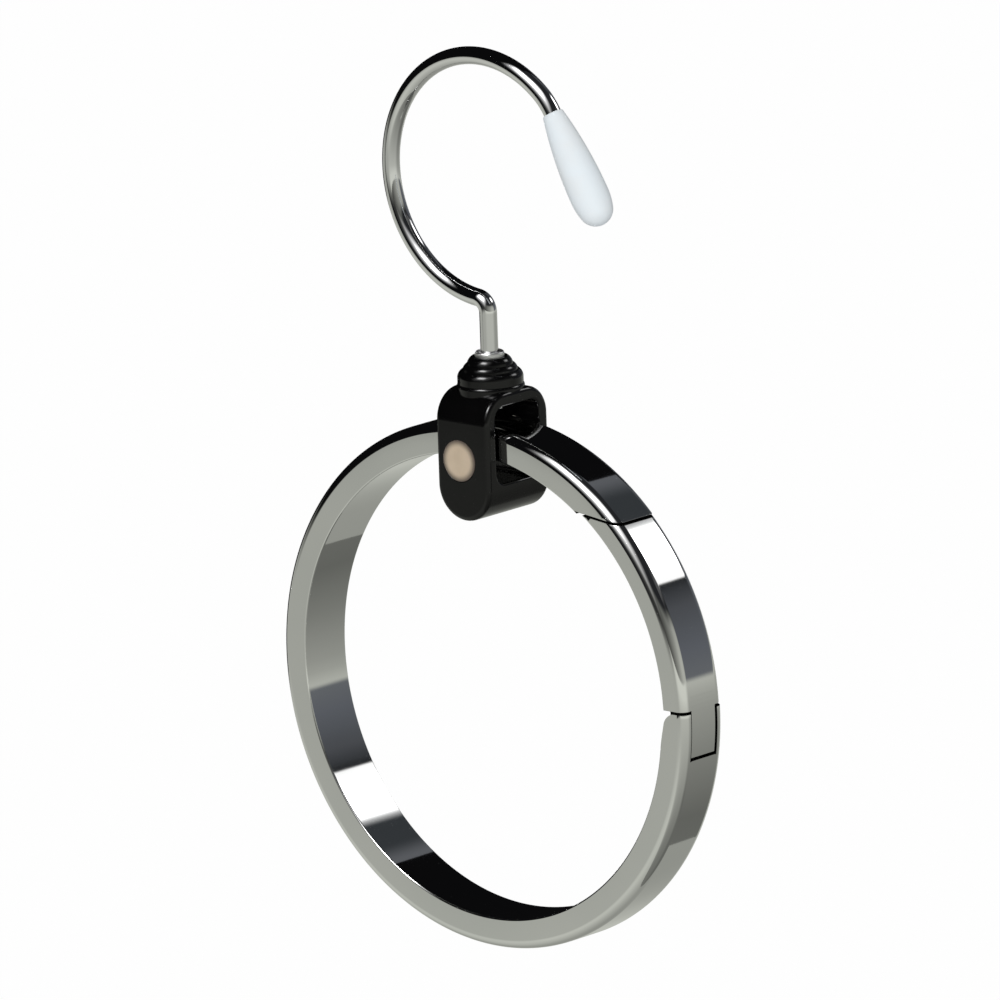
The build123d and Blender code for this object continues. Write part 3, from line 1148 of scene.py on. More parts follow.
    def build_collar(self) -> bpy.types.Object:
        """Turn up the collar in bulged steps and bore it for the bush.

        Returns:
            The collar.
        """
        start = self.collar_steps[0][0]
        collar = Bench.disc("collar", start, (0.0, 0.0, self.seat_top), sides=128)
        Bench.open_up(collar)
        level, stations = self.seat_top, []
        for number, (radius, height, bulge) in enumerate(self.collar_steps):
            if number:
                stations.append((radius, level))
            level += height
            sides = self._bulge(radius, level, bulge)
            stations += sides[1:] if bulge == height else sides
        stations.append((self.stem_hole, level))
        Bench.turn_up(collar, start, self.seat_top, stations)
        Bench.grow(self.seat_top - level, 1.0, self.seat_top)
        Bench.bore_through(collar)
        return Bench.finish(collar, "stepped_collar", sharp=36.0)

    def build_bush(self) -> bpy.types.Object:
        """Turn up the flanged bush with its widened mouth.

        Returns:
            The bush.
        """
        top = self.collar_top + self.bush_thickness
        bush = Bench.disc("bush", self.stem_hole, (0.0, 0.0, self.window_top))
        Bench.open_up(bush)
        Bench.turn_up(bush, self.stem_hole, self.window_top,
                      [(self.stem_hole, self.collar_top), (self.bush_flange, self.collar_top),
                       (self.bush_flange, top), (self.bush_mouth, top),
                       (self.bush_bore, top - self.bush_mouth_depth), (self.bush_bore, self.window_top)])
        Bench.bore_through(bush)
        for radius, size in ((self.bush_flange, self.bush_round), (self.bush_mouth, self.bush_mouth_round)):
            Bench.round_edges(bush, lambda edge: is_level(edge, top) and is_hoop(edge, radius), size,
                              steps=5)
        return Bench.finish(bush, "bright_bush", sharp=36.0)

    def build_inlay(self) -> bpy.types.Object:
        """Turn up the inlay, crown its face slightly and lay it in the pocket.

        Returns:
            The inlay.
        """
        rim = self.inlay_radius - self.inlay_slack
        inlay = Bench.disc("inlay", rim, (0.0, 0.0, 0.0), sides=96)
        Bench.open_up(inlay)
        height = self.inlay_recess + self.inlay_proud
        face = [(self.inlay_radius * share, height - drop) for share, drop in self.inlay_crown]
        Bench.turn_up(inlay, rim, 0.0, [(rim, height - self.inlay_edge), *face])
        Bench.finish(inlay, "round_inlay", sharp=60.0)
        inlay.matrix_world = (Matrix.Translation(metres(self.inlay_x, -self.depth / 2 + self.inlay_recess,
                                                        self.inlay_z)) @ Matrix.Rotation(pi / 2, 4, "X"))
        return Bench.settle(inlay)

    def build(self, nodes: dict[str, bpy.types.Object]) -> None:
        """Build and dress everything on the yoke.

        Args:
            nodes: The frame's nodes.
        """
        self.dress(self.build_yoke(), Body.YOKE, "yoke_body", Slot.BLACK_GLOSS, Finishes.BLACK_GLOSS)
        self.dress(self.build_collar(), Body.YOKE, "swivel_collar", Slot.BLACK_GLOSS, Finishes.BLACK_GLOSS)
        self.dress(self.build_bush(), Body.YOKE, "stem_bush", Slot.HOOK_CHROME, Finishes.BUSH_STEEL)
        self.dress(self.build_inlay(), Body.YOKE, "front_inlay", Slot.INLAY_BEIGE, Finishes.INLAY_BEIGE)
        self.dress_node(nodes, "swing_pin", Finishes.PIN_STEEL)
        self.dress_node(nodes, "front_swing_washer", Finishes.NATURAL_NYLON)
        self.dress_node(nodes, "rear_swing_washer", Finishes.NATURAL_NYLON)


@dataclass
class BandMaker(SubAssembly):
    """How a flat band with rounded edges is spun, with the sizes that the ring and its gate share."""

    inner_round: float = 0.35
    outer_round: float = 2.1
    edge_break: float = 0.1
    hinge_x: float = 55.25
    hinge_z: float = -3.45

    def spin_band(self, name: str, radii: tuple[float, float], width: float, rounds: tuple[float, float],
                  polar: tuple[float, float], steps: int) -> bpy.types.Object:
        """Spin a band about the Y axis through the ring's middle.

        Args:
            name: The band's name.
            radii: Its inner and outer radius.
            width: Its width along Y.
            rounds: The rounds along its inner and outer edges.
            polar: The polar angles in degrees that it runs between, from the lower to the higher.
            steps: How many lengths it has.

        Returns:
            The band, closed where it goes all the way round and open at its ends elsewhere.
        """
        Bench.put_down()
        inner, outer = radii
        middle = (inner + outer) / 2
        bpy.ops.mesh.primitive_plane_add(size=1.0, location=metres(middle, 0.0, 0.0))
        band = Bench.start(name, (*metres(outer - inner, width), 1.0))
        Bench.open_up(band)
        for radius, size, count in ((outer, rounds[1], 12), (inner, rounds[0], 5)):
            if not size:
                continue
            Bench.choose(band, Pick.POINTS, lambda point: close_to(point.co.x, radius))
            bpy.ops.mesh.bevel(offset=size * MM, offset_type="OFFSET", segments=count, profile=0.5,
                               affect="VERTICES", clamp_overlap=True)
        bpy.ops.mesh.select_mode(type="EDGE")
        bpy.ops.mesh.select_all(action="SELECT")
        bpy.ops.mesh.delete(type="ONLY_FACE")
        bpy.ops.mesh.select_all(action="SELECT")
        bpy.ops.transform.rotate(value=radians(polar[0]), orient_axis="Y", center_override=(0.0, 0.0, 0.0))
        Bench.swing(radians(polar[1] - polar[0]), (0.0, 0.0), over=False, steps=steps)
        Bench.merge_doubles()
        Bench.face_out()
        return band

    def one_face(self, sheet: bpy.types.Object) -> None:
        """Make one face of all the faces of a flat outline."""
        Bench.choose(sheet, Pick.FACES, lambda face: True)
        bpy.ops.mesh.dissolve_faces()

    def prism(self, sheet: bpy.types.Object, depth: float) -> bpy.types.Object:
        """Draw a flat outline in X and Z out along Y into a solid.

        Args:
            sheet: The outline, in edit mode.
            depth: How deep the solid is.

        Returns:
            The solid.
        """
        Bench.choose(sheet, Pick.FACES, lambda face: True)
        Bench.pull(0.0, depth, 0.0)
        return sheet

    def place_band(self, band: bpy.types.Object, name: str) -> bpy.types.Object:
        """Lower a band from the origin to the ring's middle and finish it.

        Args:
            band: The band.
            name: Its name in the finished model.

        Returns:
            The band.
        """
        Bench.put_down()
        band.location.z = RING_Z * MM
        Bench.settle(band)
        return Bench.finish(band, name, sharp=30.0)


@dataclass
class RingUnit(BandMaker):
    """The fixed part of the ring, with the fork that the gate turns in."""

    inner_radius: float = 50.8
    outer_radius: float = 57.5
    width: float = 12.9
    cheek_top: float = 1.75
    flank_foot: float = -6.5
    flank_top_in: float = 1.4
    nose_round: float = 3.2
    slot_width: float = 8.3
    slot_bottom: float = -8.65
    hinge_radius: float = 1.1
    hinge_blind: float = 0.8
    plunger_x: float = 52.85
    plunger_hole: float = 1.25
    plunger_depth: float = 7.6
    swing_hole: float = 1.3
    opening_depth: float = 22.0
    opening_top: float = 60.0

    def _opening(self, latch: LatchCut) -> bpy.types.Object:
        """The solid that is taken out of the band for the gate.

        Args:
            latch: The cut at its upper end.

        Returns:
            The solid.
        """
        near, far = self.inner_radius - self.opening_depth, self.outer_radius + BEYOND
        foot_x = sqrt(self.inner_radius ** 2 - self.flank_foot ** 2)
        top_x = self.inner_radius + self.flank_top_in
        lean = (top_x - foot_x) / (self.cheek_top - self.flank_foot)
        sheet = Bench.sheet_xz("opening", (near, self.cheek_top), (far, self.opening_top),
                               -self.width / 2 - BEYOND)
        Bench.open_up(sheet)
        Bench.halve(latch.point(), latch.normal(), fill=False)
        Bench.score(top_x)
        Bench.choose(sheet, Pick.EDGES, lambda edge: is_level(edge, self.cheek_top) and all(
            v.co.x / MM < top_x + 0.01 for v in edge.verts))
        fall = self.cheek_top - self.flank_foot + 2 * BEYOND
        Bench.pull(-fall * lean, 0.0, -fall)
        self.one_face(sheet)
        Bench.choose(sheet, Pick.POINTS, lambda point: close_to(point.co.x, top_x)
                     and close_to(point.co.z, self.cheek_top))
        angle = pi / 2 + atan2(lean, 1.0)
        bpy.ops.mesh.bevel(offset=self.nose_round / tan(angle / 2) * MM, segments=14, profile=0.5,
                           affect="VERTICES")
        return self.prism(sheet, self.width + 2 * BEYOND)

    def build_band(self, latch: LatchCut) -> bpy.types.Object:
        """Spin the band and cut the gate's opening, the fork's slot and the holes.

        Args:
            latch: The cut that the gate closes on.

        Returns:
            The band.
        """
        band = self.spin_band("band", (self.inner_radius, self.outer_radius), self.width,
                              (self.inner_round, self.outer_round), (-60.0, 300.0), 320)
        Bench.work(band, self._opening(latch))
        Bench.work(band, Bench.block(
            "slot", (self.inner_radius - BEYOND, -self.slot_width / 2, self.slot_bottom),
            (self.outer_radius + BEYOND, self.slot_width / 2, self.cheek_top + BEYOND)))
        Bench.work(band, Bench.bar("spring_way", self.plunger_hole,
                                   (self.plunger_x, 0.0, self.slot_bottom - self.plunger_depth),
                                   (self.plunger_x, 0.0, self.slot_bottom + BEYOND), sides=40))
        Bench.work(band, Bench.bar("hinge_way", self.hinge_radius,
                                   (self.hinge_x, -self.width / 2 + self.hinge_blind, self.hinge_z),
                                   (self.hinge_x, self.width / 2 + BEYOND, self.hinge_z), sides=40))
        middle = (self.inner_radius + self.outer_radius) / 2
        Bench.work(band, Bench.bar("swing_way", self.swing_hole, (0.0, -self.width, middle),
                                   (0.0, self.width, middle), sides=48))

        def on_cut(edge: Any) -> bool:
            """Whether an edge is on the rim of the latch cut or of the fork's top."""
            return is_corner(edge) and (all(latch.on(v.co) and v.co.z > 0.02 for v in edge.verts)
                                        or is_level(edge, self.cheek_top))

        Bench.round_edges(band, on_cut, self.edge_break, steps=3)
        return self.place_band(band, "ring_band")

    def build(self, nodes: dict[str, bpy.types.Object], latch: LatchCut) -> None:
        """Build and dress everything on the ring.

        Args:
            nodes: The frame's nodes.
            latch: The cut that the gate closes on.
        """
        self.dress(self.build_band(latch), Body.RING, "ring_body", Slot.BAND_CHROME, Finishes.BAND_CHROME)
        self.dress_node(nodes, "hinge_pin", Finishes.PIN_STEEL)
        self.dress_node(nodes, "gate_spring", Finishes.SPRING_STEEL)


@dataclass
class GateUnit(BandMaker):
    """The gate: a stretch of slightly thinner band with its tongue."""

    inner_radius: float = 51.5
    outer_radius: float = 57.3
    width: float = 12.7
    latch_gap: float = 0.5
    shoulder: float = 2.25
    tongue_width: float = 7.9
    tongue_round: float = 0.35
    tongue_root: float = 3.0
    cam_flat: float = -5.85
    heel: float = -8.05
    lobe_x: float = 54.45
    lobe_round: float = 0.5
    bore: float = 1.15

    def _tongue(self) -> bpy.types.Object:
        """The tongue, with its cam flat above the plunger and its lobe beside it.

        Returns:
            The tongue.
        """
        tongue = self.spin_band("tongue", (self.inner_radius, self.outer_radius), self.tongue_width,
                                (0.0, self.tongue_round), (-14.0, 8.0), 40)
        Bench.open_up(tongue)
        Bench.halve((0.0, 0.0, self.shoulder + self.tongue_root), UPWARD)
        Bench.halve((0.0, 0.0, self.heel - self.tongue_root), DOWNWARD)
        zone = Bench.sheet_xz("zone", (self.inner_radius - BEYOND, self.cam_flat),
                              (self.outer_radius + BEYOND, self.shoulder + BEYOND), -self.tongue_width)
        Bench.open_up(zone)
        Bench.score(self.lobe_x)
        Bench.choose(zone, Pick.EDGES, lambda edge: is_level(edge, self.cam_flat) and all(
            v.co.x / MM > self.lobe_x - 0.01 for v in edge.verts))
        Bench.pull(0.0, 0.0, self.heel - self.cam_flat)
        self.one_face(zone)
        Bench.choose(zone, Pick.POINTS, lambda point: close_to(point.co.x, self.lobe_x)
                     and close_to(point.co.z, self.heel))
        bpy.ops.mesh.bevel(offset=self.lobe_round * MM, segments=5, profile=0.5, affect="VERTICES")
        Bench.work(tongue, self.prism(zone, self.tongue_width * 2), Cut.KEEP)
        return tongue

    def build_gate(self, latch: LatchCut) -> bpy.types.Object:
        """Spin the gate's arm, cut its ends, and join and bore its tongue.

        Args:
            latch: The cut that the gate closes on.

        Returns:
            The gate.
        """
        gate = self.spin_band("gate_arm", (self.inner_radius, self.outer_radius), self.width,
                              (self.inner_round, self.outer_round), (-4.0, 60.0), 60)
        Bench.halve(latch.point(self.latch_gap), latch.normal())
        Bench.halve((0.0, 0.0, self.shoulder), DOWNWARD)

        def on_end(edge: Any) -> bool:
            """Whether an edge is on the rim of one of the arm's ends."""
            return is_corner(edge) and (all(latch.on(v.co, self.latch_gap) for v in edge.verts)
                                        or is_level(edge, self.shoulder))

        Bench.face_out()
        Bench.round_edges(gate, on_end, self.edge_break, steps=3)
        Bench.work(gate, self._tongue(), Cut.JOIN)
        Bench.work(gate, Bench.bar("bore", self.bore, (self.hinge_x, -self.width, self.hinge_z),
                                   (self.hinge_x, self.width, self.hinge_z), sides=40))
        return self.place_band(gate, "gate_band")

    def build(self, nodes: dict[str, bpy.types.Object], latch: LatchCut) -> None:
        """Build and dress the gate and its plunger.

        Args:
            nodes: The frame's nodes.
            latch: The cut that the gate closes on.
        """
        self.dress(self.build_gate(latch), Body.GATE, "gate", Slot.BAND_CHROME, Finishes.BAND_CHROME)
        self.dress_node(nodes, "gate_plunger", Finishes.PIN_STEEL)


@dataclass(frozen=True)
class Viewpoint:
    """The photograph's camera: where it looks from, in degrees and millimetres."""

    azimuth: float = 42.1664
    elevation: float = 13.3728
    roll: float = -1.98986
    distance: float = 3000.0
    focal_pixels: float = 14041.62
    slide_right: float = -0.20972
    slide_up: float = 38.6347
    aim_z: float = RING_Z
    sensor: float = 36.0
    image_pixels: float = 1000.0
    clip_end: float = 100.0

    def build(self) -> None:
        """Add the camera and make it the scene's."""
        a, e, r = radians(self.azimuth), radians(self.elevation), radians(self.roll)
        back = Vector((sin(a) * cos(e), -cos(a) * cos(e), sin(e)))
        level = Vector((cos(a), sin(a), 0.0))
        upright = back.cross(level)
        right = cos(r) * level + sin(r) * upright
        up = -sin(r) * level + cos(r) * upright
        place = (back * self.distance + right * self.slide_right + up * self.slide_up
                 + Vector((0.0, 0.0, self.aim_z))) * MM
        lens = bpy.data.cameras.new("camera")
        lens.sensor_width = self.sensor
        lens.lens = self.focal_pixels / self.image_pixels * self.sensor
        lens.clip_end = self.clip_end
        camera = bpy.data.objects.new("camera", lens)
        bpy.context.scene.collection.objects.link(camera)
        turn = Matrix((right, up, back)).transposed().to_4x4()
        camera.matrix_world = Matrix.Translation(place) @ turn
        bpy.context.scene.camera = camera


@dataclass(frozen=True)
class HighBox:
    """The soft box high at the front left: a wide glow round a bright core. All in degrees."""

    foot: float = 18.0
    foot_turn: float = -74.0
    foot_slope: float = 0.9
    glow_under: float = 12.0
    glow_rise: float = 30.0
    glow_power: float = 1.6
    glow_left: Span = (-122.0, -109.0)
    glow_right: Span = (-54.0, -22.0)
    glow_top: float = 78.0
    glow_top_fade: float = 18.0
    core_foot: Span = (14.0, 32.0)
    core_left: Span = (-112.0, -100.0)
    core_right: Span = (-84.0, -62.0)
    core_top: float = 64.0
    core_top_fade: float = 12.0

    def light(self, azimuth: Signal, rise: Signal) -> tuple[Signal, Signal]:
        """How strongly each direction sees the box.

        Args:
            azimuth: The direction's azimuth.
            rise: The direction's rise.

        Returns:
            The glow and the core, each from 0 to 1.
        """
        over = rise - ((azimuth - self.foot_turn).bent("MAXIMUM", 0.0) * self.foot_slope + self.foot)
        glow = ((over + self.glow_under) / self.glow_rise).bent("MAXIMUM", 0.0).bent("MINIMUM", 1.0)
        glow = glow.bent("POWER", self.glow_power) * azimuth.span(*self.glow_left)
        glow = glow * (self.glow_top - rise).span(0.0, self.glow_top_fade)
        core = over.span(*self.core_foot) * azimuth.span(*self.core_left)
        core = core * (1.0 - azimuth.span(*self.core_right))
        return (glow * (1.0 - azimuth.span(*self.glow_right)),
                core * (self.core_top - rise).span(0.0, self.core_top_fade))


@dataclass(frozen=True)
class StripBox:
    """The short bright strip at the back right. Lengths are tangents from its nearest place."""

    along: Place = (0.62, -0.736, 0.27)
    nearest: Place = (0.482, 0.631, 0.609)
    least_ahead: float = 0.01
    drift_span: Span = (-0.1, 0.2)
    drift: float = 0.125
    half_width: float = 0.185
    edge: float = 0.012
    low_edge: float = 0.05
    drift_edge: float = 0.1
    glow_power: float = 1.6
    back_end: Span = (-0.37, -0.28)
    front_end: Span = (-0.08, 0.06)
    front_drop: float = 0.94
    length_end: float = 0.75
    core_half_width: float = 0.15
    core_edge: Span = (0.0, 0.1)
    core_share: float = 0.2

    def light(self, tree: NodeBench, way: Signal) -> tuple[Signal, Signal]:
        """How strongly each direction sees the strip.

        Args:
            tree: The cloth's nodes.
            way: The place on the tent, as seen from its middle.

        Returns:
            The glow and the core, each from 0 to 1.
        """
        along, nearest = Vector(self.along).normalized(), Vector(self.nearest).normalized()
        ahead, length, aside = [tree.vector("DOT_PRODUCT", way, tuple(axis))
                                for axis in (nearest, along, along.cross(nearest).normalized())]
        length = length / ahead.bent("MAXIMUM", self.least_ahead)
        drift = length.span(*self.drift_span)
        aside = aside / ahead.bent("MAXIMUM", self.least_ahead) + drift * self.drift
        soft = drift * self.drift_edge + (aside > 0.0) * self.low_edge + self.edge
        aside = aside.bent("ABSOLUTE")
        ends = length.span(*self.back_end) * (1.0 - length.span(*self.front_end) * self.front_drop)
        ends = ends * (length < self.length_end) * (ahead > 0.0)
        glow = ((self.half_width - aside) / soft).bent("MAXIMUM", 0.0).bent("MINIMUM", 1.0)
        core = (self.core_half_width - aside).span(*self.core_edge) * (1.0 - drift) * self.core_share
        return glow.bent("POWER", self.glow_power) * ends, core * ends


@dataclass(frozen=True)
class Tent:
    """What bright metal sees all round: a grey floor, dim walls, black cloth and two soft boxes.

    Azimuths are in degrees round +Z from +X, and rises are in degrees over the level. Greys are 0 to
    255, as the metal shows them, against how far a direction points down or up or round.
    """

    radius: float = 8.0
    metal_share: float = 0.80
    box_strength: float = 20.0
    high_box: HighBox = HighBox()
    strip_box: StripBox = StripBox()
    floor_tint: Colour = (1.0, 1.011, 0.968)
    floor_behind: Greys = ((0.0, 170), (0.23, 165), (0.43, 174), (0.48, 171), (0.575, 163), (0.64, 152),
                           (0.69, 143), (1.0, 138))
    floor_beside: Greys = ((0.0, 158), (0.24, 157), (0.36, 176), (0.5, 183), (0.64, 178), (0.77, 171),
                           (1.0, 152))
    floor_right: Greys = ((0.0, 172), (0.055, 168), (0.12, 152), (0.19, 142), (0.325, 131), (0.445, 118),
                          (0.55, 108), (0.63, 97), (0.68, 99), (1.0, 96))
    floor_ahead: Greys = ((0.0, 199), (0.1, 195), (0.2, 173), (0.5, 150), (0.77, 123), (1.0, 104))
    behind_to_beside: Span = (-0.35, 0.3)
    beside_to_ahead: Span = (-98.0, -62.0)
    ahead_to_right: Span = (4.0, 46.0)
    left_lean: float = 0.19
    side_wall: Tints = ((0.0, (94, 97, 101)), (0.12, (87, 90, 96)), (0.23, (80, 83, 88)),
                        (0.33, (72, 74, 78)), (0.41, (52, 54, 57)), (0.445, (26, 27, 29)))
    front_wall: Greys = ((0.0, 48), (0.2, 90), (0.5, 140), (0.68, 165), (0.8, 168), (0.9, 158), (1.0, 140))
    front_wall_start: float = -90.0
    front_wall_turn: float = 140.0
    front_to_side: Span = (35.0, 45.0)
    cloth: Colour = (10, 10, 11)
    cloth_right: Colour = (34, 35, 37)
    cloth_turn: Span = (-118.0, -112.0)
    cloth_end: float = 94.0
    wall_top: float = 29.0
    wall_top_turn: float = 14.0
    wall_top_slope: float = 0.2
    wall_top_fade: float = 10.0
    wall_left: float = -104.0
    wall_dim: Span = (6.0, 24.0)
    wall_dim_share: float = 0.25
    side_wall_turn: Span = (40.0, 50.0)
    side_wall_top: float = 0.44
    wall_end: float = 115.0
    spill_near: Colour = (50, 53, 56)
    spill_far: Colour = (88, 90, 94)
    spill_mix: Span = (83.0, 94.0)
    spill_turn: Span = (58.0, 68.0)
    spill_end: float = 95.0
    spill_foot: Span = (0.42, 0.5)
    spill_top: float = 0.8
    edge_turn: float = -130.0
    edge_slope: float = 0.25
    edge_drop: float = 12.0
    edge_right: Span = (30.0, 50.0)
    edge_right_drop: float = 1.9
    edge_back: float = -15.7
    haze_turn: float = -84.0
    haze_slope: float = 0.12
    haze_span: Span = (-1.2, 0.8)

    def _level(self, *shown: float) -> Colour:
        """What a card gives off so that the metal shows a screen colour."""
        return tuple(c / self.metal_share for c in linear(*shown))

    def _cloth(self, *shown: float) -> tuple[float, float, float, float]:
        """A card's colour with its alpha."""
        return (*self._level(*shown), 1.0)

    def _greys(self, stops: Greys) -> Tints:
        """A ramp's stops from places and greys, each a little green as the studio's floor is."""
        return [(place, self._level(*(grey * share for share in self.floor_tint))) for place, grey in stops]

    def _ground(self, tree: NodeBench, azimuth: Signal, way: Sequence[Signal]) -> Signal:
        """The studio's grey floor, brightest at its horizon straight ahead.

        Args:
            tree: The cloth's nodes.
            azimuth: The direction's azimuth.
            way: The direction's X, Y and Z.

        Returns:
            The floor's colour.
        """
        x, y, z = way
        down = z * -1.0
        behind, beside, right, ahead = [down.ramp(self._greys(stops)) for stops in (
            self.floor_behind, self.floor_beside, self.floor_right, self.floor_ahead)]
        left = tree.mix(y.span(*self.behind_to_beside), beside, behind)
        near = tree.mix(azimuth.span(*self.beside_to_ahead), beside, ahead)
        front = tree.mix(azimuth.span(*self.ahead_to_right), near, right)
        return tree.mix((x + z * self.left_lean) > 0.0, left, front)

    def _room(self, tree: NodeBench, azimuth: Signal, rise: Signal, z: Signal) -> Signal:
        """The dark room over the floor, with its pale walls and the light that spills on them.

        Args:
            tree: The cloth's nodes.
            azimuth: The direction's azimuth.
            rise: The direction's rise.
            z: The direction's Z.

        Returns:
            The room's colour.
        """
        side = z.ramp([(place, self._level(*shown)) for place, shown in self.side_wall])
        ahead = ((azimuth - self.front_wall_start) / self.front_wall_turn).ramp(self._greys(self.front_wall))
        wall = tree.mix(azimuth.span(*self.front_to_side), ahead, side)
        dark = tree.mix(azimuth.span(*self.cloth_turn) * (azimuth < self.cloth_end),
                        self._cloth(*self.cloth), self._cloth(*self.cloth_right))
        top = self.wall_top - (azimuth - self.wall_top_turn).bent("MAXIMUM", 0.0) * self.wall_top_slope
        standing = (top - rise).span(0.0, self.wall_top_fade) * (azimuth > self.wall_left)
        standing = standing * (1.0 - rise.span(*self.wall_dim) * self.wall_dim_share)
        on_side = azimuth.span(*self.side_wall_turn)
        standing = standing * (1.0 - on_side) + on_side * (z < self.side_wall_top)
        room = tree.mix(standing * (azimuth < self.wall_end), dark, wall)
        spill = tree.mix(azimuth.span(*self.spill_mix), self._cloth(*self.spill_near),
                         self._cloth(*self.spill_far))
        share = azimuth.span(*self.spill_turn) * (azimuth < self.spill_end)
        return tree.mix(share * z.span(*self.spill_foot) * (z < self.spill_top), room, spill)

    def _above(self, tree: NodeBench, azimuth: Signal, rise: Signal, z: Signal) -> Signal:
        """The room with its two soft boxes.

        Args:
            tree: The cloth's nodes.
            azimuth: The direction's azimuth.
            rise: The direction's rise.
            z: The direction's Z.

        Returns:
            The colour.
        """
        high_glow, high_core = self.high_box.light(azimuth, rise)
        strip_glow, strip_core = self.strip_box.light(tree, tree.place())
        white = (high_glow + strip_glow) / self.metal_share + (high_core + strip_core) * self.box_strength
        light = tree.node("ShaderNodeCombineXYZ", {}, {0: white, 1: white, 2: white})
        return tree.vector("ADD", self._room(tree, azimuth, rise, z), light, "Vector")

    def _horizon(self, azimuth: Signal) -> Signal:
        """How high over the level the floor's far edge shows, in degrees.

        Args:
            azimuth: The direction's azimuth.

        Returns:
            The edge's rise.
        """
        turned = (azimuth - self.edge_turn).bent("ABSOLUTE")
        edge = (turned * self.edge_slope - self.edge_drop).bent("MINIMUM", 0.0)
        edge = edge - azimuth.span(*self.edge_right) * self.edge_right_drop
        back = azimuth > self.wall_end
        return edge * (1.0 - back) + self.edge_back * back

    def build(self) -> None:
        """Put up the tent that only gloss sees."""
        Bench.put_down()
        bpy.ops.mesh.primitive_uv_sphere_add(segments=48, ring_count=24, radius=self.radius,
                                             location=metres(0.0, 0.0, RING_Z))
        tent = bpy.context.object
        tent.name = "studio_tent"
        cloth = bpy.data.materials.new("studio_tent_cloth")
        cloth.use_nodes = True
        cloth.cycles.emission_sampling = "NONE"
        tree = NodeBench(cloth.node_tree)
        way = tree.node("ShaderNodeVectorMath", {"operation": "NORMALIZE"}, {0: tree.place()})
        x, y, z = [tree.node("ShaderNodeSeparateXYZ", {}, {0: way}, axis) for axis in "XYZ"]
        azimuth = y.bent("ARCTAN2", x) * degrees(1.0)
        rise = z.bent("ARCSINE") * degrees(1.0)
        turned = (azimuth - self.edge_turn).bent("ABSOLUTE") * (azimuth < self.haze_turn)
        haze = turned * self.haze_slope + 1.0
        over = ((rise - self._horizon(azimuth)) / haze).span(*self.haze_span)
        whole = tree.mix(over, self._ground(tree, azimuth, (x, y, z)), self._above(tree, azimuth, rise, z))
        light = tree.node("ShaderNodeEmission", {}, {"Color": whole, "Strength": 1.0})
        tree.node("ShaderNodeOutputMaterial", {}, {"Surface": light})
        tent.data.materials.append(cloth)
        for ray in ("camera", "diffuse", "transmission", "volume_scatter", "shadow"):
            setattr(tent, f"visible_{ray}", False)


@dataclass(frozen=True)
class Lamp:
    """A soft lamp that shapes the matt pieces and that gloss doesn't see. In metres and watts."""

    name: str
    place: Place
    power: float
    size: float
    aim: Place = (0.0, 0.0, -0.09)

    def build(self) -> None:
        """Hang the lamp and aim it at the yoke."""
        light = bpy.data.lights.new(self.name, "AREA")
        light.shape = "DISK"
        light.size = self.size
        light.energy = self.power
        holder = bpy.data.objects.new(self.name, light)
        bpy.context.scene.collection.objects.link(holder)
        holder.location = self.place
        holder.rotation_euler = (Vector(self.place) - Vector(self.aim)).to_track_quat("Z", "Y").to_euler()
        holder.visible_glossy = False


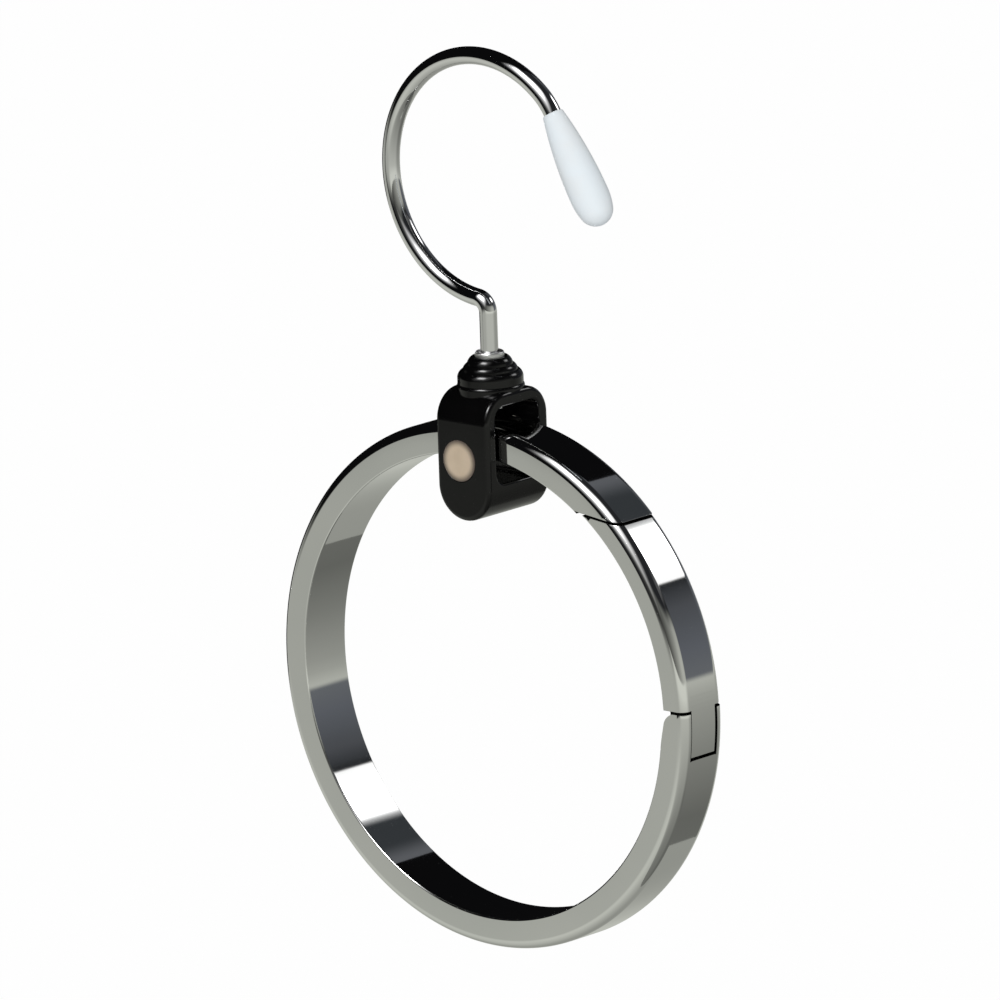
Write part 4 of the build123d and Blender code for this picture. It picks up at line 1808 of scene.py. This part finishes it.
@dataclass(frozen=True)
class Studio:
    """A pale floor, a white surround, soft lamps and the tent. The floor's size is in metres."""

    floor_z: float = -600.0
    floor_size: float = 40.0
    floor_paint: float = 0.86
    floor_white: float = 0.985
    fill: float = 0.44
    tent: Tent = Tent()
    lamps: tuple[Lamp, ...] = (Lamp("key_lamp", (1.6, -2.4, 1.4), 52.0, 1.6),
                               Lamp("side_lamp", (2.6, -1.2, 0.6), 3.0, 1.4))

    def build(self) -> None:
        """Set up the whole studio."""
        self._world()
        self._floor()
        self.tent.build()
        for lamp in self.lamps:
            lamp.build()

    def _seen(self, tree: NodeBench) -> Signal:
        """Tell the rays from the camera, off gloss or through glass from the rest.

        Args:
            tree: The nodes of the surround or of the floor's paint.

        Returns:
            1 for those rays and 0 for the rest.
        """
        rays = [tree.node("ShaderNodeLightPath", output=name)
                for name in ("Is Camera Ray", "Is Glossy Ray", "Is Transmission Ray")]
        return (rays[0] + rays[1] + rays[2]).bent("MINIMUM", 1.0)

    def _world(self) -> None:
        """A white surround that lights softly."""
        world = bpy.data.worlds.new("studio_world")
        world.use_nodes = True
        tree = NodeBench(world.node_tree)
        strength = self._seen(tree) * (1.0 - self.fill) + self.fill
        light = tree.node("ShaderNodeBackground", {}, {"Color": (1.0, 1.0, 1.0, 1.0), "Strength": strength})
        tree.node("ShaderNodeOutputWorld", {}, {"Surface": light})
        bpy.context.scene.world = world

    def _floor(self) -> None:
        """A pale floor that keeps a faint shadow."""
        Bench.put_down()
        bpy.ops.mesh.primitive_plane_add(size=self.floor_size, location=metres(0.0, 0.0, self.floor_z))
        floor = bpy.context.object
        floor.name = "studio_floor"
        paint = bpy.data.materials.new("studio_floor_paint")
        paint.use_nodes = True
        tree = NodeBench(paint.node_tree)
        matt = tree.node("ShaderNodeBsdfDiffuse", {}, {"Color": (*[self.floor_paint] * 3, 1.0)})
        white = tree.node("ShaderNodeEmission", {}, {"Color": (1.0, 1.0, 1.0, 1.0), "Strength": 1.0})
        both = tree.node("ShaderNodeMixShader", {},
                         {0: self._seen(tree) * self.floor_white, 1: matt, 2: white})
        tree.node("ShaderNodeOutputMaterial", {}, {"Surface": both})
        floor.data.materials.append(paint)
        floor.visible_glossy = False


def main() -> None:
    """Build the hanger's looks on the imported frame."""
    logging.basicConfig(level=logging.INFO, format="%(name)s: %(message)s")
    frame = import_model()
    Bench.put_down()
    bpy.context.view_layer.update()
    nodes = frame["nodes"]
    bpy.context.scene.view_settings.view_transform = "Standard"
    Viewpoint().build()
    Studio().build()
    latch = LatchCut()
    HookUnit().build(nodes)
    YokeUnit().build(nodes)
    RingUnit().build(nodes, latch)
    GateUnit().build(nodes, latch)
    Bench.put_down()


if __name__ == "__main__":
    main()
